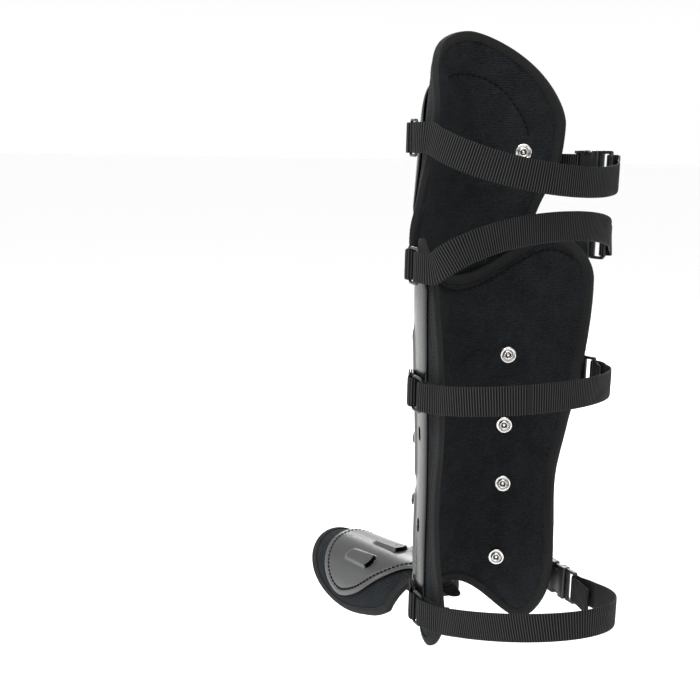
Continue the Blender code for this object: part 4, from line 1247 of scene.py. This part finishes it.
base, topLayer = loopOut - fold, loopOut - fold + layers
for name in strapLevels:
    near, far, lift = (strapLevels[name][key] for key in ("near", "far", "lift"))
    start = strapAngles[name]["tab"]
    frontBar = strapAngles[name]["loop"] - loopSpan / 2
    rearBar = strapAngles[name]["loop"] + loopSpan / 2
    loopFrame(name)
    laid = [(start + (frontBar - start) * k / 4, float(ease(k / 4, 0.0, 1.0))) for k in range(5)]
    tab = [(angle, base, near, 1 - rise) for angle, rise in laid]
    tab += foldRound(name, frontBar, near, 1)
    tab += [(frontBar, loopOut + fold, near, 0.0)]
    tab += [(angle, topLayer, near, 1 - rise) for angle, rise in reversed(laid[:3])]
    webbing(f"{name}_tab_web", name, tab, [f"{name}_tab"], tackSpots)

    place = bucklePlace(name)
    placed(f"{name}_buckle_socket", socketMesh, place, [f"{name}_socket"])
    placed(f"{name}_buckle_plug", plugMesh, place, [f"{name}_plug"])

    guess = -strapAngles[name]["buckle"]
    turns = [pi * k / 8 for k in range(9)]
    socketBar = s["back"] + 0.0019
    steps = [spotOf(name, place @ Vector((socketBar + fold * sin(t), 0, -fold * cos(t))), guess)
             for t in turns]
    barAngle, barOut = steps[0]
    laid = [(-start + (barAngle + start) * k / 4, float(ease(k / 4, 0.0, 1.0))) for k in range(4)]
    anchor = [(angle, base + (barOut - base) * rise, far, 1 - rise) for angle, rise in laid]
    anchor += [(angle, out, far, 0.0) for angle, out in steps]
    angle, out = spotOf(name, place @ Vector((s["back"] - 0.0025, 0, fold)), guess)
    run = (angle + start) / (barAngle + start)
    spare = out - layers - base - (barOut - base) * ease(run, 0.0, 1.0)
    anchor += [(angle, out, far, 0.0)]
    for k in (3, 2, 1, 0):
        rise = float(ease(run * k / 4, 0.0, 1.0))
        backOut = base + layers + (barOut - base) * rise + spare * k / 4
        anchor.append((-start + (angle + start) * k / 4, backOut, far, 1 - rise))
    webbing(f"{name}_anchor_web", name, anchor, [f"{name}_anchor"], tackSpots)

    leave = rearBar + 11
    straight = plugSet["bar"] + 0.004
    steps = [spotOf(name, place @ Vector((straight, 0, fold)), guess)]
    arrive = steps[0][0] + 360

    def levelAt(angle):
        share = np.clip((angle - leave) / (arrive - leave), 0, 1)
        return near + (far - near) * share + lift * sin(pi * share)

    strap = [(rearBar + 17 * (1 - k / 3), base, levelAt(rearBar + 17 * (1 - k / 3)), 0.0) for k in range(4)]
    strap += foldRound(name, rearBar, near, -1)
    strap += [(rearBar, loopOut + fold, near, 0.0), (rearBar + 5, topLayer + fold, near, 0.0)]
    steps += [spotOf(name, place @ Vector((plugSet["bar"] - fold * sin(t), 0, fold * cos(t))), guess)
              for t in turns]
    steps += [spotOf(name, place @ Vector((straight, 0, -fold)), guess)]
    for k in range(19):
        out = topLayer + (steps[0][1] - topLayer) * ease(k / 19, 0.9, 1.0)
        angle = leave + (arrive - leave) * k / 19
        strap.append((angle, out, levelAt(angle), 0.0))
    strap += [(angle + 360, out, far, 0.0) for angle, out in steps]
    angle, out = steps[-1]
    strap += [(angle + 360 - 3 * k, out + (topLayer - 2 * layers - out) * ease(k, 0, 3), far, 0.0)
              for k in (1, 2, 4)]
    webbing(f"{name}_strap_web", name, strap, [f"{name}_strap"], (0.006, 0.010, -0.003), creases.get(name))
print("straps and buckles made")

# floor, light and the photograph's camera
floorMesh = meshFrom("floor", lambda bm: bmesh.ops.create_grid(bm, x_segments=1, y_segments=1, size=60.0))
floor = put("floor", floorMesh)
floor.location.z = -0.40
floor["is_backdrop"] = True
paleFloor = bpy.data.materials.new("paleFloor")
paleFloor.use_nodes = True
paint = paleFloor.node_tree.nodes["Principled BSDF"]
paint.inputs["Base Color"].default_value = (0.96, 0.96, 0.96, 1)
paint.inputs["Roughness"].default_value = 0.9
floorMesh.materials.append(paleFloor)

# pale all round near the horizon, dimmer overhead
world = bpy.data.worlds.new("studio")
bpy.context.scene.world = world
world.use_nodes = True
sky = world.node_tree
way = Wire(sky, sky.nodes.new("ShaderNodeTexCoord").outputs["Generated"])
sky.links.new(way.axis(2).between(0.10, 0.45, 1.0, 0.40).socket, sky.nodes["Background"].inputs["Strength"])
sky.nodes["Background"].inputs["Color"].default_value = (1, 1, 1, 1)
bpy.context.scene.view_settings.view_transform = "Standard"

lamps = (
    dict(name="key", kind="AREA", at=(1.7, 0.5, 1.6), size=0.9, power=24),
    dict(name="back", kind="AREA", at=(-1.5, -1.8, 1.5), size=1.6, power=70),
    dict(name="left", kind="AREA", at=(1.6, -1.4, 1.0), size=0.9, power=8),
    dict(name="high", kind="SUN", at=(0.6, 0.3, 2.0), size=radians(70), power=1.95),
)
for lamp in lamps:
    light = bpy.data.lights.new(lamp["name"], lamp["kind"])
    light.energy = lamp["power"]
    setattr(light, "angle" if lamp["kind"] == "SUN" else "size", lamp["size"])
    holder = put(lamp["name"], light)
    holder.location = lamp["at"]
    holder.rotation_euler = (Vector((0, 0, 0)) - holder.location).to_track_quat("-Z", "Y").to_euler()

eye = dict(at=(0.6156, 0.7317, 0.19988), heading=-146.0276, pitch=11.0625, roll=1.2, lens=52.6088)
heading, pitch, roll = (radians(eye[key]) for key in ("heading", "pitch", "roll"))
ahead = Vector((sin(heading) * cos(pitch), cos(heading) * cos(pitch), -sin(pitch)))
aside = Vector((cos(heading), -sin(heading), 0))
upward = aside.cross(ahead)
right = aside * cos(roll) + upward * sin(roll)
top = upward * cos(roll) - aside * sin(roll)
lens = bpy.data.cameras.new("camera")
lens.sensor_width, lens.lens = 36, eye["lens"]
camera = put("camera", lens)
camera.matrix_world = framed(right, top, -ahead, Vector(eye["at"]))
bpy.context.scene.camera = camera

shown = [list(corner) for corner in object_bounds()]
